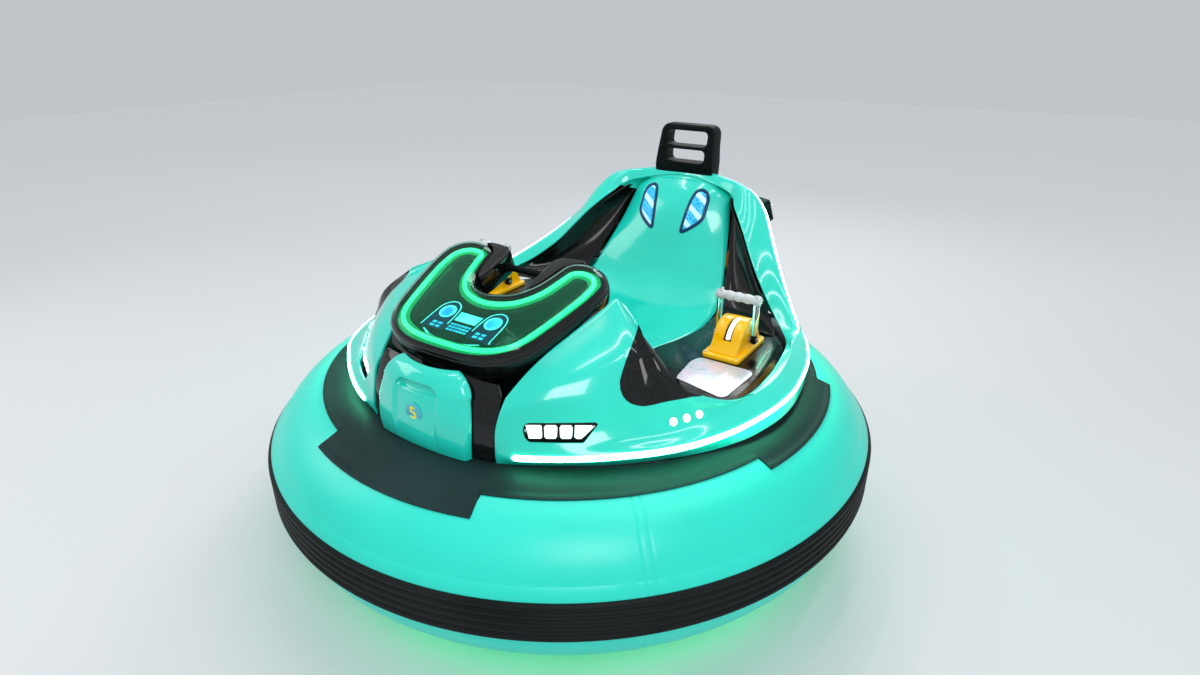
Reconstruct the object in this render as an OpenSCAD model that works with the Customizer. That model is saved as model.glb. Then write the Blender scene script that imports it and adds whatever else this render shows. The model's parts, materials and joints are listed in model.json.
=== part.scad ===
// Round bumper car: air ring round a moulded one-seat body on two driven wheels and two casters.
// Millimetres. Z up, floor at z 0, front faces -Y, driver's left is +X, origin on the floor
// under the middle of the ring.

/* [Air ring] */
// Radius of the ring's widest line
ring_radius = 952; // [900:1:1000]
// Radius of the ring's inner side, where the chassis pan fits
pan_r = 448; // [420:1:480]
// Height of the middle of the tube above the floor
tube_height = 318; // [290:1:340]
// Half height of the tube
tube_half_height = 229; // [200:1:260]
// Lower edge of the black bumper band
band_bottom = 277; // [240:1:300]
// Upper edge of the black bumper band
band_top = 388; // [370:1:430]
// Count of ribs on the bumper band
band_ribs = 5; // [3:1:7]

/* [Body] */
// Thickness of the moulded body skins
skin_t = 6; // [4:0.5:10]
// Height of the cockpit side decks
deck_z = 614; // [600:1:625]

/* [Dash] */
// Slope of the dash top
dash_tilt = 18; // [10:1:25]
// Height of the clear dome over the dash rim
dome_h = 36; // [20:1:50]

/* [Running gear] */
// Radius of the driven wheels
wheel_r = 84; // [75:1:100]
// Width of the driven wheels
wheel_w = 44; // [35:1:60]
// Distance of the driven wheels from the middle line
wheel_x = 330; // [300:1:350]
// Radius of the caster wheels
caster_r = 50; // [40:1:60]
// Distance of the caster swivels from the middle
caster_y = 335; // [300:1:345]
// Trail of the caster wheels
caster_trail = 30; // [20:1:40]

/* [Controls] */
// Height of the lever pivots
pivot_z = 655; // [650:1:670]
// Distance of the control boxes from the middle line
box_x = 488; // [470:1:500]
// Place of the lever pivots along the car
pivot_y = 190; // [170:1:210]

/* [Hidden] */
pan_z = 172;
pan_t = 6;
tube_radius = (ring_radius + pan_r) / 2;
skirt_t = 3;
tube_top_z = tube_height + tube_half_height;
tube_foot_z = tube_height - tube_half_height - 3;
flange_z = tube_top_z + skirt_t;
flange_r = tube_radius - 45;
band_r = ring_radius - 4;
riser_x = 0.7366 * pan_r;
riser_y = 0.6384 * pan_r;
run = 0.05;

// Curve through four points, and a row of points made finer by it
function curve(a, b, c, d, t) = 0.5 * ((2 * b) + (c - a) * t + (2 * a - 5 * b + 4 * c - d) * t * t
  + (3 * b - a - 3 * c + d) * t * t * t);
function finer(p, n) = n < 2 ? p : [for (i = [0 : len(p) - 2], k = [0 : n - 1])
  curve(p[max(i - 1, 0)], p[i], p[i + 1], p[min(i + 2, len(p) - 1)], k / n), p[len(p) - 1]];
function turned(g) = [for (j = [0 : len(g[0]) - 1]) [for (i = [0 : len(g) - 1]) g[i][j]]];
function woven(g, nu, nv) = turned([for (c = turned([for (r = g) finer(r, nv)])) finer(c, nu)]);
function mirrored(g) = [for (r = g) [for (p = r) [-p[0], p[1], p[2]]]];
function pol(r, a, z) = [r * sin(a), -r * cos(a), z];
function unit(v) = v / max(norm(v), 0.000001);
function normals(g) = let (m = len(g) - 1, n = len(g[0]) - 1) [for (i = [0 : m]) [for (j = [0 : n])
  unit(cross(g[min(i + 1, m)][j] - g[max(i - 1, 0)][j], g[i][min(j + 1, n)] - g[i][max(j - 1, 0)]))]];
function pushed(g, d) = let (n = normals(g)) [for (i = [0 : len(g) - 1]) [for (j = [0 : len(g[0]) - 1])
  g[i][j] + n[i][j] * d]];

// Closed skin between two grids of the same size; top lies on the side of its normals
module between(top, low) {
  m = len(top);
  n = len(top[0]);
  k = m * n;
  flat = [for (r = top) each r, for (r = low) each r];
  faces = [
    for (i = [0 : m - 2], j = [0 : n - 2]) each [
      [i * n + j, i * n + j + 1, (i + 1) * n + j + 1], [i * n + j, (i + 1) * n + j + 1, (i + 1) * n + j],
      [k + i * n + j, k + (i + 1) * n + j + 1, k + i * n + j + 1],
      [k + i * n + j, k + (i + 1) * n + j, k + (i + 1) * n + j + 1]],
    for (i = [0 : m - 2]) each [
      [i * n, (i + 1) * n, k + (i + 1) * n], [i * n, k + (i + 1) * n, k + i * n],
      [i * n + n - 1, k + (i + 1) * n + n - 1, (i + 1) * n + n - 1],
      [i * n + n - 1, k + i * n + n - 1, k + (i + 1) * n + n - 1]],
    for (j = [0 : n - 2]) each [
      [j, k + j + 1, j + 1], [j, k + j, k + j + 1],
      [(m - 1) * n + j, (m - 1) * n + j + 1, k + (m - 1) * n + j + 1],
      [(m - 1) * n + j, k + (m - 1) * n + j + 1, k + (m - 1) * n + j]]];
  polyhedron(points = flat, faces = faces, convexity = 6);
}
module skin(g, t) { between(g, pushed(g, -t)); }
module both() {
  children();
  mirror([1, 0, 0]) children();
}

// The whole body stands on the chassis flange and rises with it
module raised() { translate([0, 0, body_lift]) children(); }

// Ring: half section of the tube, flat where the band, the pan and the glow strip sit
function tube_pt(a) = [tube_radius + (ring_radius - tube_radius) * cos(a), tube_height + tube_half_height * sin(a)];
tube_top = [for (a = [154, 142, 130, 118]) tube_pt(a), for (a = [106 : -5 : 56]) tube_pt(a), for (a = [46, 36, 25]) tube_pt(a)];
tube_section = [[pan_r, tube_height - 68], [pan_r, tube_height + 72], each tube_top, [band_r, band_top + 6],
  [band_r, band_bottom - 6], tube_pt(-34), tube_pt(-50), tube_pt(-66), [tube_radius + 50, tube_foot_z],
  [tube_radius - 50, tube_foot_z], tube_pt(-118), tube_pt(-136), tube_pt(-152)];
module ring_tube() { color([0.3, 0.88, 0.78]) rotate_extrude($fn = 96) polygon(tube_section); }

module bumper_band() {
  pitch = (band_top - band_bottom) / band_ribs;
  color([0.05, 0.05, 0.05]) rotate_extrude($fn = 96) polygon([[band_r, band_bottom],
    for (i = [0 : band_ribs - 1]) each [[band_r + 6, band_bottom + i * pitch],
      [band_r + 11, band_bottom + (i + 0.25) * pitch], [band_r + 11, band_bottom + (i + 0.75) * pitch]],
    [band_r + 6, band_top], [band_r, band_top]]);
}

// Skirt: thin sheet lying on the top of the tube, with a longer tongue in front and at each side
function sheet(a0, a1, t) = [for (a = [a0 : 5 : a1]) tube_pt(a), for (i = [floor((a1 - a0) / 5) : -1 : 0])
  tube_pt(a0 + 5 * i) + [0, t]];
module tongue(from, outer) {
  rotate([0, 0, from]) rotate_extrude(angle = 38, $fn = 96) polygon(sheet(outer, 76, skirt_t));
}
module top_skirt() {
  color([0.08, 0.09, 0.09]) union() {
    rotate_extrude($fn = 96) polygon(sheet(71, 106, skirt_t));
    tongue(-109, 56);
    tongue(-17.5, 61);
    tongue(159.5, 61);
  }
}
module under_glow() {
  color([0.1, 0.95, 0.4]) rotate_extrude($fn = 96) polygon([[tube_radius + 35, tube_foot_z - 8],
    [tube_radius + 47, tube_foot_z - 8], [tube_radius + 47, tube_foot_z], [tube_radius + 35, tube_foot_z]]);
}

// Chassis: pan with a wall inside the ring and a flange over it, openings for wheels and swivels
module chassis_pan() {
  color([0.2, 0.21, 0.22]) difference() {
    rotate_extrude($fn = 96) polygon([[0, pan_z], [pan_r, pan_z], [pan_r, flange_z], [flange_r, flange_z],
      [flange_r, flange_z + 4], [pan_r - 4, flange_z + 4], [pan_r - 4, pan_z + pan_t], [0, pan_z + pan_t]]);
    both() translate([wheel_x - 34, -110, pan_z - 1]) cube([68, 220, 9]);
    for (s = [-1, 1]) translate([0, s * caster_y, pan_z - 1]) cylinder(r = 9, h = 9, $fn = 48);
  }
}
module battery_block() {
  color([0.15, 0.15, 0.16]) translate([-180, 120, pan_z + pan_t]) cube([360, 180, 210]);
}

// Drive: bracket, gear motor and stub axle for each wheel
module drive_mount() {
  translate([288, -45, 40]) cube([8, 90, pan_z - 40]);
  translate([150, 0, wheel_r]) rotate([0, 90, 0]) cylinder(r = 38, h = 138, $fn = 64);
  translate([296, 0, wheel_r]) rotate([0, 90, 0]) cylinder(r = 10, h = 70, $fn = 48);
  translate([360, 0, wheel_r]) rotate([0, 90, 0]) cylinder(r = 16, h = 6, $fn = 48);
}
module drive_mounts() { color([0.45, 0.46, 0.48]) both() drive_mount(); }
module drive_wheel() {
  translate([wheel_x, 0, wheel_r]) rotate([0, 90, 0]) difference() {
    rotate_extrude($fn = 72) polygon([[10 + run, -28], [26, -28], [26, -16], [52, -16], [58, -wheel_w / 2],
      [76, -wheel_w / 2], [wheel_r, -14], [wheel_r, 14], [76, wheel_w / 2], [58, wheel_w / 2], [52, 16],
      [26, 16], [26, 28], [10 + run, 28]]);
    for (a = [0 : 60 : 300]) rotate([0, 0, a]) translate([39, 0, -30]) cylinder(r = 7, h = 60, $fn = 32);
  }
}
module drive_wheel_left() { color([0.1, 0.1, 0.1]) drive_wheel(); }
module drive_wheel_right() { color([0.1, 0.1, 0.1]) mirror([1, 0, 0]) drive_wheel(); }

// Casters: stem, top plate, two cheeks and a pin; the wheel runs on the pin
module caster_fork(y) {
  translate([0, y, 0]) {
    translate([0, 0, pan_z - 8]) cylinder(r = 9 - run, h = 22, $fn = 48);
    translate([0, 0, pan_z - 8]) cylinder(r = 34, h = 7.8, $fn = 64);
    translate([-29, -20, pan_z - 16]) cube([58, caster_trail + 36, 8]);
    for (s = [-29, 24]) translate([s, caster_trail - 16, caster_r - 16]) cube([5, 32, pan_z - caster_r + 8]);
    translate([-32, caster_trail, caster_r]) rotate([0, 90, 0]) cylinder(r = 6, h = 64, $fn = 40);
  }
}
module caster_wheel(y) {
  translate([0, y + caster_trail, caster_r]) rotate([0, 90, 0]) rotate_extrude($fn = 64)
    polygon([[6 + run, -18], [16, -18], [18, -12], [34, -12], [38, -15], [46, -15], [caster_r, -10],
      [caster_r, 10], [46, 15], [38, 15], [34, 12], [18, 12], [16, 18], [6 + run, 18]]);
}
module caster_fork_front() { color([0.6, 0.61, 0.62]) caster_fork(-caster_y); }
module caster_fork_rear() { color([0.6, 0.61, 0.62]) caster_fork(caster_y); }
module caster_wheel_front() { color([0.12, 0.12, 0.12]) caster_wheel(-caster_y); }
module caster_wheel_rear() { color([0.12, 0.12, 0.12]) caster_wheel(caster_y); }

// Lower lines of the cowl and sill by angle from the front: bottom edge, sill light, ledge
bottom_r = [[19, 672], [28, 666], [37, 667], [46, 675], [55, 689], [63.5, 709], [73.5, 730], [86, 744],
  [94, 743], [104, 745], [112.5, 749]];
bottom_z = [[19, 551], [46, 553], [63.5, 559], [86, 569], [112.5, 572]];
// The body stands on its lowest edge; it is lifted to the chassis flange
body_base = bottom_z[0][1] - 1;
body_lift = flange_z - body_base;
sill_r = [[19, 676], [24, 684], [31, 688], [38, 692], [46, 701], [53, 713], [58, 716], [67, 718], [76, 722],
  [88, 735], [104.5, 741], [112.5, 744]];
sill_z = [[19, 578], [31, 587], [38, 590], [53, 598], [70, 596], [80, 600], [94.5, 609], [112.5, 613]];
ledge_r = [[19, 668], [26, 662], [38, 657], [46, 655], [55, 658], [62, 661], [67, 668], [76, 680], [88, 694],
  [112.5, 700]];
ledge_z = [[19, 640], [62, 641], [76, 637], [112.5, 640]];
// Cowl stations: angle from the front, edge x y z, bulge between ledge and edge
cowl = [
  [19, 223, -593, 716, 8],
  [24, 231, -565, 738, 12],
  [30, 243, -520, 768, 18],
  [36, 258, -462, 797, 26],
  [41.5, 275, -398, 822, 32],
  [46, 293, -330, 848, 36],
  [49.5, 308, -280, 868, 38],
  [52.5, 319, -241, 882, 38],
  [55.5, 370, -268, 862, 34],
  [58.5, 422, -295, 834, 28],
  [61.5, 488, -300, 775, 18],
  [65, 553, -304, 715, 8],
  [69, 592, -262, 682, 5],
  [73.5, 630, -205, 655, 4],
  [78.5, 652, -150, 643, 3],
  [84, 663, -85, 640, 3],
  [89, 664, -10, 640, 3],
  [94.5, 661, 60, 640, 3],
  [104.5, 640, 213, 637, 3],
  [112.5, 609, 313, 622, 3]];
// Arm stations: angle, bottom radius and height, sill radius and height, flank x y z,
// ridge x y z, inner edge x y z
arm = [
  [120, 752, 573, 748, 614, 634, 386, 630, 620, 378, 640, 572, 372, 630],
  [128, 757, 573, 752, 615, 574, 480, 656, 562, 457, 685, 510, 435, 665],
  [137, 765, 573, 760, 615, 498, 574, 690, 480, 560, 761, 432, 500, 735],
  [146, 776, 574, 772, 615, 428, 672, 736, 409, 646, 843, 380, 540, 800],
  [155, 790, 574, 788, 616, 366, 752, 780, 352, 696, 933, 328, 585, 865],
  [164, 805, 575, 806, 617, 276, 812, 820, 285, 722, 989, 262, 650, 930],
  [172, 815, 575, 818, 617, 150, 838, 836, 184, 756, 1008, 200, 718, 974],
  [180, 820, 575, 823, 617, 0, 846, 842, 0, 790, 1022, 0, 742, 1010]];
function by_angle(a, r, z) = pol(lookup(a, r), a, lookup(a, z));
function cowl_row(c) = let (s = by_angle(c[0], sill_r, sill_z), m = by_angle(c[0], ledge_r, ledge_z),
  e = [c[1], c[2], c[3]]) [by_angle(c[0], bottom_r, bottom_z), s - [0, 0, 9], s + [0, 0, 9], m,
   (m + e) / 2 + unit([sin(c[0]), -cos(c[0]), 1.2]) * c[4], e];
function arm_row(c) = let (s = pol(c[3], c[0], c[4])) [pol(c[1], c[0], c[2]), s - [0, 0, 9], s + [0, 0, 9],
  [c[5], c[6], c[7]], [c[8], c[9], c[10]], [c[11], c[12], c[13]]];
side_rows = [for (c = cowl) cowl_row(c), for (c = arm) arm_row(c)];
side_grid = woven(side_rows, 1, 3);
last = len(side_grid) - 1;
round_grid = [each side_grid, for (i = [last - 1 : -1 : 0]) mirrored([side_grid[i]])[0]];
round_in = pushed(round_grid, -skin_t);
sill_end = len(cowl) - 1;
function block(g, i0, i1, j0, j1) = [for (i = [i0 : i1]) [for (j = [j0 : j1]) g[i][j]]];
module patch(i0, i1, j0, j1, up, down) {
  between(block(pushed(round_grid, up), i0, i1, j0, j1), block(pushed(round_grid, -down), i0, i1, j0, j1));
}
// Mint mouldings round the rear: sill band, and the two arms with the arch over the seat back
rear_end = 2 * last - sill_end;
module rear_sill() { color([0.2, 0.88, 0.8]) patch(sill_end, rear_end, 0, 6, 0, skin_t); }
module arm_arch() { color([0.2, 0.88, 0.8]) patch(sill_end, rear_end, 11, 15, 0, skin_t); }

// Vent opening: plane through its three corners, outline in that plane
module vent_prism(grow, h) {
  translate([422, -295, 834]) rotate([0, 45.4, -30.56]) translate([0, 0, -h / 2])
    linear_extrude(height = h) polygon([[-30 - grow, 12], [22, -24 - grow], [68, -62 - grow],
      [110, -90 - grow], [146, -94 - grow], [170, -80 - grow], [184 + grow, -50], [188 + grow, 2],
      [200, 110], [110, 110], [10, 80]]);
}
// Outline of the four-cell lamp, pushed through the shell; grow widens it behind the skin
pod_edge = [[-88, 4], [-80, -13], [-71, -22], [57, -22], [65, -16], [94, 19], [93, 24], [-77, 26], [-85, 20]];
module pod_prism(grow) {
  translate(pol(650, 32.5, 638)) rotate([0, 0, 32.5]) rotate([72, 0, 0]) translate([0, 0, -30])
    linear_extrude(height = 60) polygon([for (q = pod_edge) q * grow]);
}
// Bracket that carries a shell on the chassis flange: foot inside the lower edge, arm to the skin
module bracket(a, r, z) {
  rotate([0, 0, a - 90]) union() {
    translate([630, -20, body_base + 4.1]) cube([r - 642, 40, z - body_base + 13.9]);
    translate([630, -20, z + 8]) cube([r - 622, 40, 10]);
  }
}
module side_shell() {
  difference() {
    patch(0, sill_end, 0, 15, 0, skin_t);
    vent_prism(0, 120);
    pod_prism(1);
    for (a = [57.6, 61, 64.4]) lamp_rod(a, 13.2, 60);
  }
}
module lamp_rod(a, r, h) {
  translate(pol(662, a, 641)) rotate([0, 0, a]) rotate([62, 0, 0]) translate([0, 0, -h / 2]) cylinder(r = r, h = h, $fn = 40);
}
module side_shell_left() { color([0.2, 0.88, 0.8]) side_shell(); }
module side_shell_right() { color([0.2, 0.88, 0.8]) mirror([1, 0, 0]) side_shell(); }
module side_vents() {
  color([0.03, 0.03, 0.03]) both() intersection() {
    patch(5, 13, 5, 15, 0, skin_t);
    vent_prism(-0.2, 118);
  }
}
module head_lamps() {
  color([0.9, 0.95, 0.95]) both() intersection() {
    patch(1, 6, 3, 12, -skin_t - 0.2, 16);
    pod_prism(1.05);
  }
}
module side_lamps() {
  color([0.95, 1, 1]) both() intersection() {
    patch(7, 12, 4, 11, 2, 14);
    union() { for (a = [57.6, 61, 64.4]) lamp_rod(a, 13, 58); }
  }
}
module sill_lights() {
  color([0.8, 1, 0.95]) union() {
    both() patch(1, sill_end, 4, 6, 4, 0);
    patch(sill_end, sill_end + 2, 4, 6, 4, 0);
    patch(rear_end - 2, rear_end, 4, 6, 4, 0);
  }
}
module arm_lights() {
  color([0.8, 1, 0.95]) union() {
    patch(sill_end + 1, sill_end + 6, 12, 13, 4, 0);
    patch(rear_end - 6, rear_end - 1, 12, 13, 4, 0);
  }
}

// Rear: black back between the arms and the sill band, two round lamps and a charge socket in it
module rear_rod(x, z, r) { translate([x, 720, z]) rotate([-90, 0, 0]) cylinder(r = r, h = 200, $fn = 48); }
module back_shell() {
  color([0.04, 0.04, 0.04]) difference() {
    patch(sill_end, rear_end, 6, 11, 0, skin_t);
    for (x = [-225, 225]) rear_rod(x, 690, 58.2);
    rear_rod(0, 700, 22.1);
  }
}
module rear_lamps() {
  color([1, 0.55, 0.05]) intersection() {
    patch(sill_end, rear_end, 6, 11, 6, skin_t);
    union() { for (x = [-225, 225]) rear_rod(x, 690, 58); }
  }
}
module charge_socket() {
  color([0.05, 0.05, 0.05]) translate([0, 862, 700]) rotate([90, 0, 0]) difference() {
    union() {
      cylinder(r = 32, h = 8, $fn = 64);
      cylinder(r = 22, h = 60, $fn = 64);
    }
    translate([0, 0, -1]) cylinder(r = 11, h = 31, $fn = 48);
  }
}
// Front: black frame between the cowls and the mint panel on it. Levels: half width, y at the
// side, y in the middle, z
frame_levels = [[196, -586, -604, 742], [214, -597, -640, 714], [215, -624, -664, 660], [213, -636, -672, 600],
  [211, -638, -668, 551]];
panel_levels = [[92, -630, -662, 764], [134, -642, -688, 732], [152, -656, -702, 690], [160, -668, -708, 640],
  [160, -674, -704, 590], [156, -672, -690, 552]];
function level_row(c) = [for (u = [-1, -0.85, -0.5, 0, 0.5, 0.85, 1]) [u * c[0], c[1] + (c[2] - c[1]) * (1 - u * u), c[3]]];
frame_grid = [for (c = frame_levels) level_row(c)];
panel_grid = woven([for (c = panel_levels) level_row(c)], 2, 1);
// Frame with feet on the chassis flange and two sloping struts under the dash
module front_frame() {
  color([0.03, 0.03, 0.03]) union() {
    skin(frame_grid, 6);
    both() translate([96, -655, body_base + 4]) cube([34, 40, 24]);
    both() intersection() {
      dash_place() translate([120, 60, -260]) cube([34, 30, 270]);
      translate([0, -700, body_base + 4]) cube([300, 400, 400]);
    }
  }
}
// Panel with four pads behind it that end on the frame
module front_panel() {
  color([0.25, 0.88, 0.8]) union() {
    skin(panel_grid, 7);
    difference() {
      both() for (z = [575, 685]) translate([84, -676, z]) cube([34, 60, 30]);
      between(pushed(frame_grid, 0.1), pushed(frame_grid, -80));
    }
  }
}

// Dash outline in its sloping plane, right half from the front middle to the valley middle
u_half = [[0, 0], [80, 3], [150, 18], [205, 50], [240, 98], [262, 170], [280, 250], [292, 320], [290, 385],
  [262, 430], [215, 452], [165, 448], [130, 420], [116, 370], [100, 315], [70, 275], [35, 258], [0, 252]];
u_loop = [each u_half, for (i = [len(u_half) - 2 : -1 : 1]) [-u_half[i][0], u_half[i][1]]];
function side_n(p, i) = let (n = len(p), d = unit(p[(i + 1) % n] - p[(i + n - 1) % n])) [-d[1], d[0]];
function inset(p, d) = [for (i = [0 : len(p) - 1]) p[i] + side_n(p, i) * d];
function lifted(p, z) = [for (q = p) [q[0], q[1], z]];
module dash_place() { translate([0, -600, 760]) rotate([dash_tilt, 0, 0]) children(); }
// Solid through a row of U loops; each end is closed by strips from the outer to the inner side
module rings(r) {
  n = len(r[0]);
  h = n / 2;
  top = (len(r) - 1) * n;
  strips = [for (i = [0 : (h - 3) / 2]) each [[i, i + 1, h - 1 - i], [i, h - 1 - i, h - i]]];
  caps = [each strips, for (t = strips) [for (k = [2, 1, 0]) (n - t[k]) % n]];
  polyhedron(points = [for (q = r) each q], faces = [
    each caps,
    for (t = caps) [for (k = [2, 1, 0]) top + t[k]],
    for (k = [0 : len(r) - 2], i = [0 : n - 1]) each [
      [k * n + i, (k + 1) * n + i, (k + 1) * n + (i + 1) % n],
      [k * n + i, (k + 1) * n + (i + 1) % n, k * n + (i + 1) % n]]], convexity = 8);
}
// Shoulder along the valley side of each horn, beside and behind the dome
shoulder = [[84, 300], [79, 340], [78, 420], [84, 444], [98, 456], [140, 462], [170, 462], [200, 440], [160, 390], [130, 330], [110, 296]];
module horn_shoulder() {
  difference() {
    translate([0, 0, -30]) linear_extrude(height = 70) polygon(shoulder);
    translate([0, 0, -60]) linear_extrude(height = 82) polygon(inset(u_loop, 12));
    translate([0, 0, 22]) linear_extrude(height = 60) polygon(inset(u_loop, -0.6));
  }
}
module dash_hood() {
  color([0.03, 0.03, 0.03]) dash_place() union() {
    difference() {
      rings([lifted(inset(u_loop, 16), -40), lifted(inset(u_loop, 5), -26), lifted(inset(u_loop, 1), -4), lifted(u_loop, 22)]);
      translate([0, 0, -42]) linear_extrude(height = 52) polygon(inset(u_loop, 24));
    }
    both() horn_shoulder();
  }
}
module dash_lens() {
  color([0.6, 0.9, 0.85, 0.4]) dash_place() difference() {
    rings([lifted(inset(u_loop, 1), 22.2), lifted(inset(u_loop, 6), 34), lifted(inset(u_loop, 20), 22 + dome_h - 6),
      lifted(inset(u_loop, 34), 22 + dome_h)]);
    rings([lifted(inset(u_loop, 5), 21), lifted(inset(u_loop, 10), 31), lifted(inset(u_loop, 24), 12 + dome_h),
      lifted(inset(u_loop, 36), 18 + dome_h)]);
  }
}
module dash_light() {
  color([0.1, 1, 0.6]) dash_place() translate([0, 0, 22.2]) difference() {
    linear_extrude(height = 9) polygon(inset(u_loop, 32));
    translate([0, 0, -1]) linear_extrude(height = 12) polygon(inset(u_loop, 46));
  }
}
module dash_display() {
  color([0.1, 0.5, 0.9]) dash_place() translate([-92, 92, 22.2]) cube([184, 96, 3]);
}
module grab_bar() {
  color([0.03, 0.03, 0.03]) dash_place() translate([0, 408, 2]) rotate([0, 90, 0]) translate([0, 0, -77.95])
    cylinder(r = 10, h = 155.9, $fn = 40);
}

// Cockpit lining stations: rim x y z, foot of the rim x y, inner deck edge x y
lining = [
  [250, -440, 606, 236, -436, 150, -412],
  [430, -390, 610, 420, -384, 210, -372],
  [530, -310, 612, 514, -306, 262, -300],
  [598, -222, 640, 574, -218, 272, -220],
  [646, -130, 635, 622, -126, 270, -120],
  [657, -40, 633, 632, -38, 270, -20],
  [655, 50, 632, 629, 48, 274, 60],
  [645, 140, 631, 619, 138, 300, 140],
  [632, 205, 629, 608, 200, 314, 200],
  [612, 265, 624, 592, 256, 322, 260],
  [570, 335, 619, 548, 322, 328, 330]];
function lining_half(c) = [[c[0], c[1], c[2]], [c[3], c[4], deck_z], [c[5] + 7, c[6], deck_z], [c[5], c[6], deck_z - 7],
  [c[5] - 4, c[6], body_base + 8]];
lining_grid = [for (c = lining) lining_half(c)];
// Post that carries the deck on the chassis flange
module deck_post(x, y) { translate([x - 20, y - 20, body_base + 4]) cube([40, 40, deck_z - body_base - 6]); }
// Black side panels between arm and seat: arm edge x y z, seat edge x y z
wings = [
  [569, 330, 615, 328, 325, 609], [508, 424, 646, 324, 440, 613], [428, 492, 718, 299, 516, 644],
  [374, 534, 786, 272, 598, 724], [322, 582, 852, 246, 670, 812], [258, 644, 914, 222, 728, 902], [216, 704, 950, 208, 748, 944]];
function wing_row(c) = let (a = [c[0], c[1], c[2]], b = [c[3], c[4], c[5]]) [a, a * 0.7 + b * 0.3 + [0, 30, -4],
  a * 0.3 + b * 0.7 + [0, 26, -4], b];
wing_grid = woven([for (c = wings) wing_row(c)], 1, 2);
module side_linings() {
  color([0.03, 0.03, 0.035]) both() difference() {
    skin(wing_grid, 4);
    between(pushed(lining_grid, 0.1), pushed(lining_grid, -40));
  }
}
module cockpit_tub() {
  color([0.04, 0.04, 0.05]) union() {
    both() union() {
      skin(lining_grid, 4);
      deck_post(500, -180);
      deck_post(520, 180);
      difference() {
        union() {
          bracket(24, 669, 551.4);
          bracket(58, 696, 557.1);
          bracket(100, 744, 570.6);
        }
        between(block(pushed(round_grid, 60), 0, sill_end, 0, 6), block(pushed(round_grid, -skin_t - 0.15), 0, sill_end, 0, 6));
      }
    }
    difference() {
      union() {
        both() bracket(140, 769, 573.4);
        bracket(180, 820, 575);
      }
      between(block(pushed(round_grid, 60), sill_end, rear_end, 0, 6),
        block(pushed(round_grid, -skin_t - 0.15), sill_end, rear_end, 0, 6));
    }
    translate([-258, -437, deck_z - 16]) cube([516, 30, 12]);
  }
}
module seat_riser() {
  color([0.04, 0.04, 0.05]) difference() {
    translate([-riser_x, 80, pan_z + pan_t]) cube([2 * riser_x, riser_y - 80, flange_z + 6.6 - pan_z - pan_t]);
    translate([6 - riser_x, 86, pan_z + pan_t - 1]) cube([2 * riser_x - 12, 300, flange_z + 2 - pan_z - pan_t]);
  }
}

// Seat stations: middle y z, edge x y z
seat = [[728, 992, 150, 742, 976], [697, 965, 196, 748, 950], [657, 903, 211, 722, 900],
  [624, 820, 234, 668, 812], [594, 735, 260, 596, 720], [546, 650, 284, 524, 638], [470, 592, 302, 440, 608],
  [340, 566, 316, 300, 606], [200, 564, 302, 200, 604], [110, 576, 284, 125, 602], [52, 586, 260, 74, 594],
  [34, 562, 248, 58, 562], [38, 470, 243, 60, 470]];
function seat_row(c) = [for (u = [-1, -0.9, -0.6, -0.3, 0, 0.3, 0.6, 0.9, 1]) let (v = pow(abs(u), 2.6))
  [u * c[2], c[0] * (1 - v) + c[3] * v, c[1] * (1 - v) + c[4] * v]];
seat_grid = woven([for (c = seat) seat_row(c)], 2, 1);
module seat_shell() { color([0.25, 0.9, 0.82]) skin(seat_grid, 6); }
module seat_lamps() {
  color([0.2, 0.7, 1]) both() intersection() {
    between(block(pushed(seat_grid, 5), 1, 8, 0, 8), block(pushed(seat_grid, 0.5), 1, 8, 0, 8));
    translate([97, 780, 903]) rotate([90, 0, 0]) linear_extrude(height = 200)
      polygon([[-34, -84], [-8, -62], [18, -22], [34, 22], [32, 58], [14, 78], [-8, 72], [-20, 40], [-32, -30]]);
  }
}

// Headrest handle: waisted block with two slots right through, its foot cut to the arch under it
module slot(z, w, h, r) {
  rotate([90, 0, 0]) translate([0, 0, -900]) linear_extrude(height = 250) union() {
    translate([-w / 2 + r, z - h / 2]) square([w - 2 * r, h]);
    translate([-w / 2, z - h / 2 + r]) square([w, h - 2 * r]);
    for (i = [-1, 1], j = [-1, 1]) translate([i * (w / 2 - r), z + j * (h / 2 - r)]) circle(r = r, $fn = 32);
  }
}
module headrest_handle() {
  color([0.05, 0.05, 0.05]) difference() {
    intersection() {
      rotate([90, 0, 0]) translate([0, 0, -900]) linear_extrude(height = 250) polygon([[-118, 1000], [118, 1000],
        [120, 1040], [112, 1130], [108, 1172], [90, 1192], [-90, 1192], [-108, 1172], [-112, 1130], [-120, 1040]]);
      rotate([90, 0, 90]) translate([0, 0, -140]) linear_extrude(height = 280) polygon([[752, 1000], [812, 1000],
        [812, 1040], [818, 1060], [822, 1110], [836, 1160], [832, 1184], [820, 1192], [784, 1192], [772, 1184],
        [766, 1150], [752, 1090], [744, 1034]]);
    }
    slot(1141, 172, 56, 18);
    slot(1078, 166, 48, 18);
    between(block(pushed(round_grid, 0.15), last - 5, last + 5, 11, 15), block(pushed(round_grid, -60), last - 5, last + 5, 11, 15));
  }
}

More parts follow.
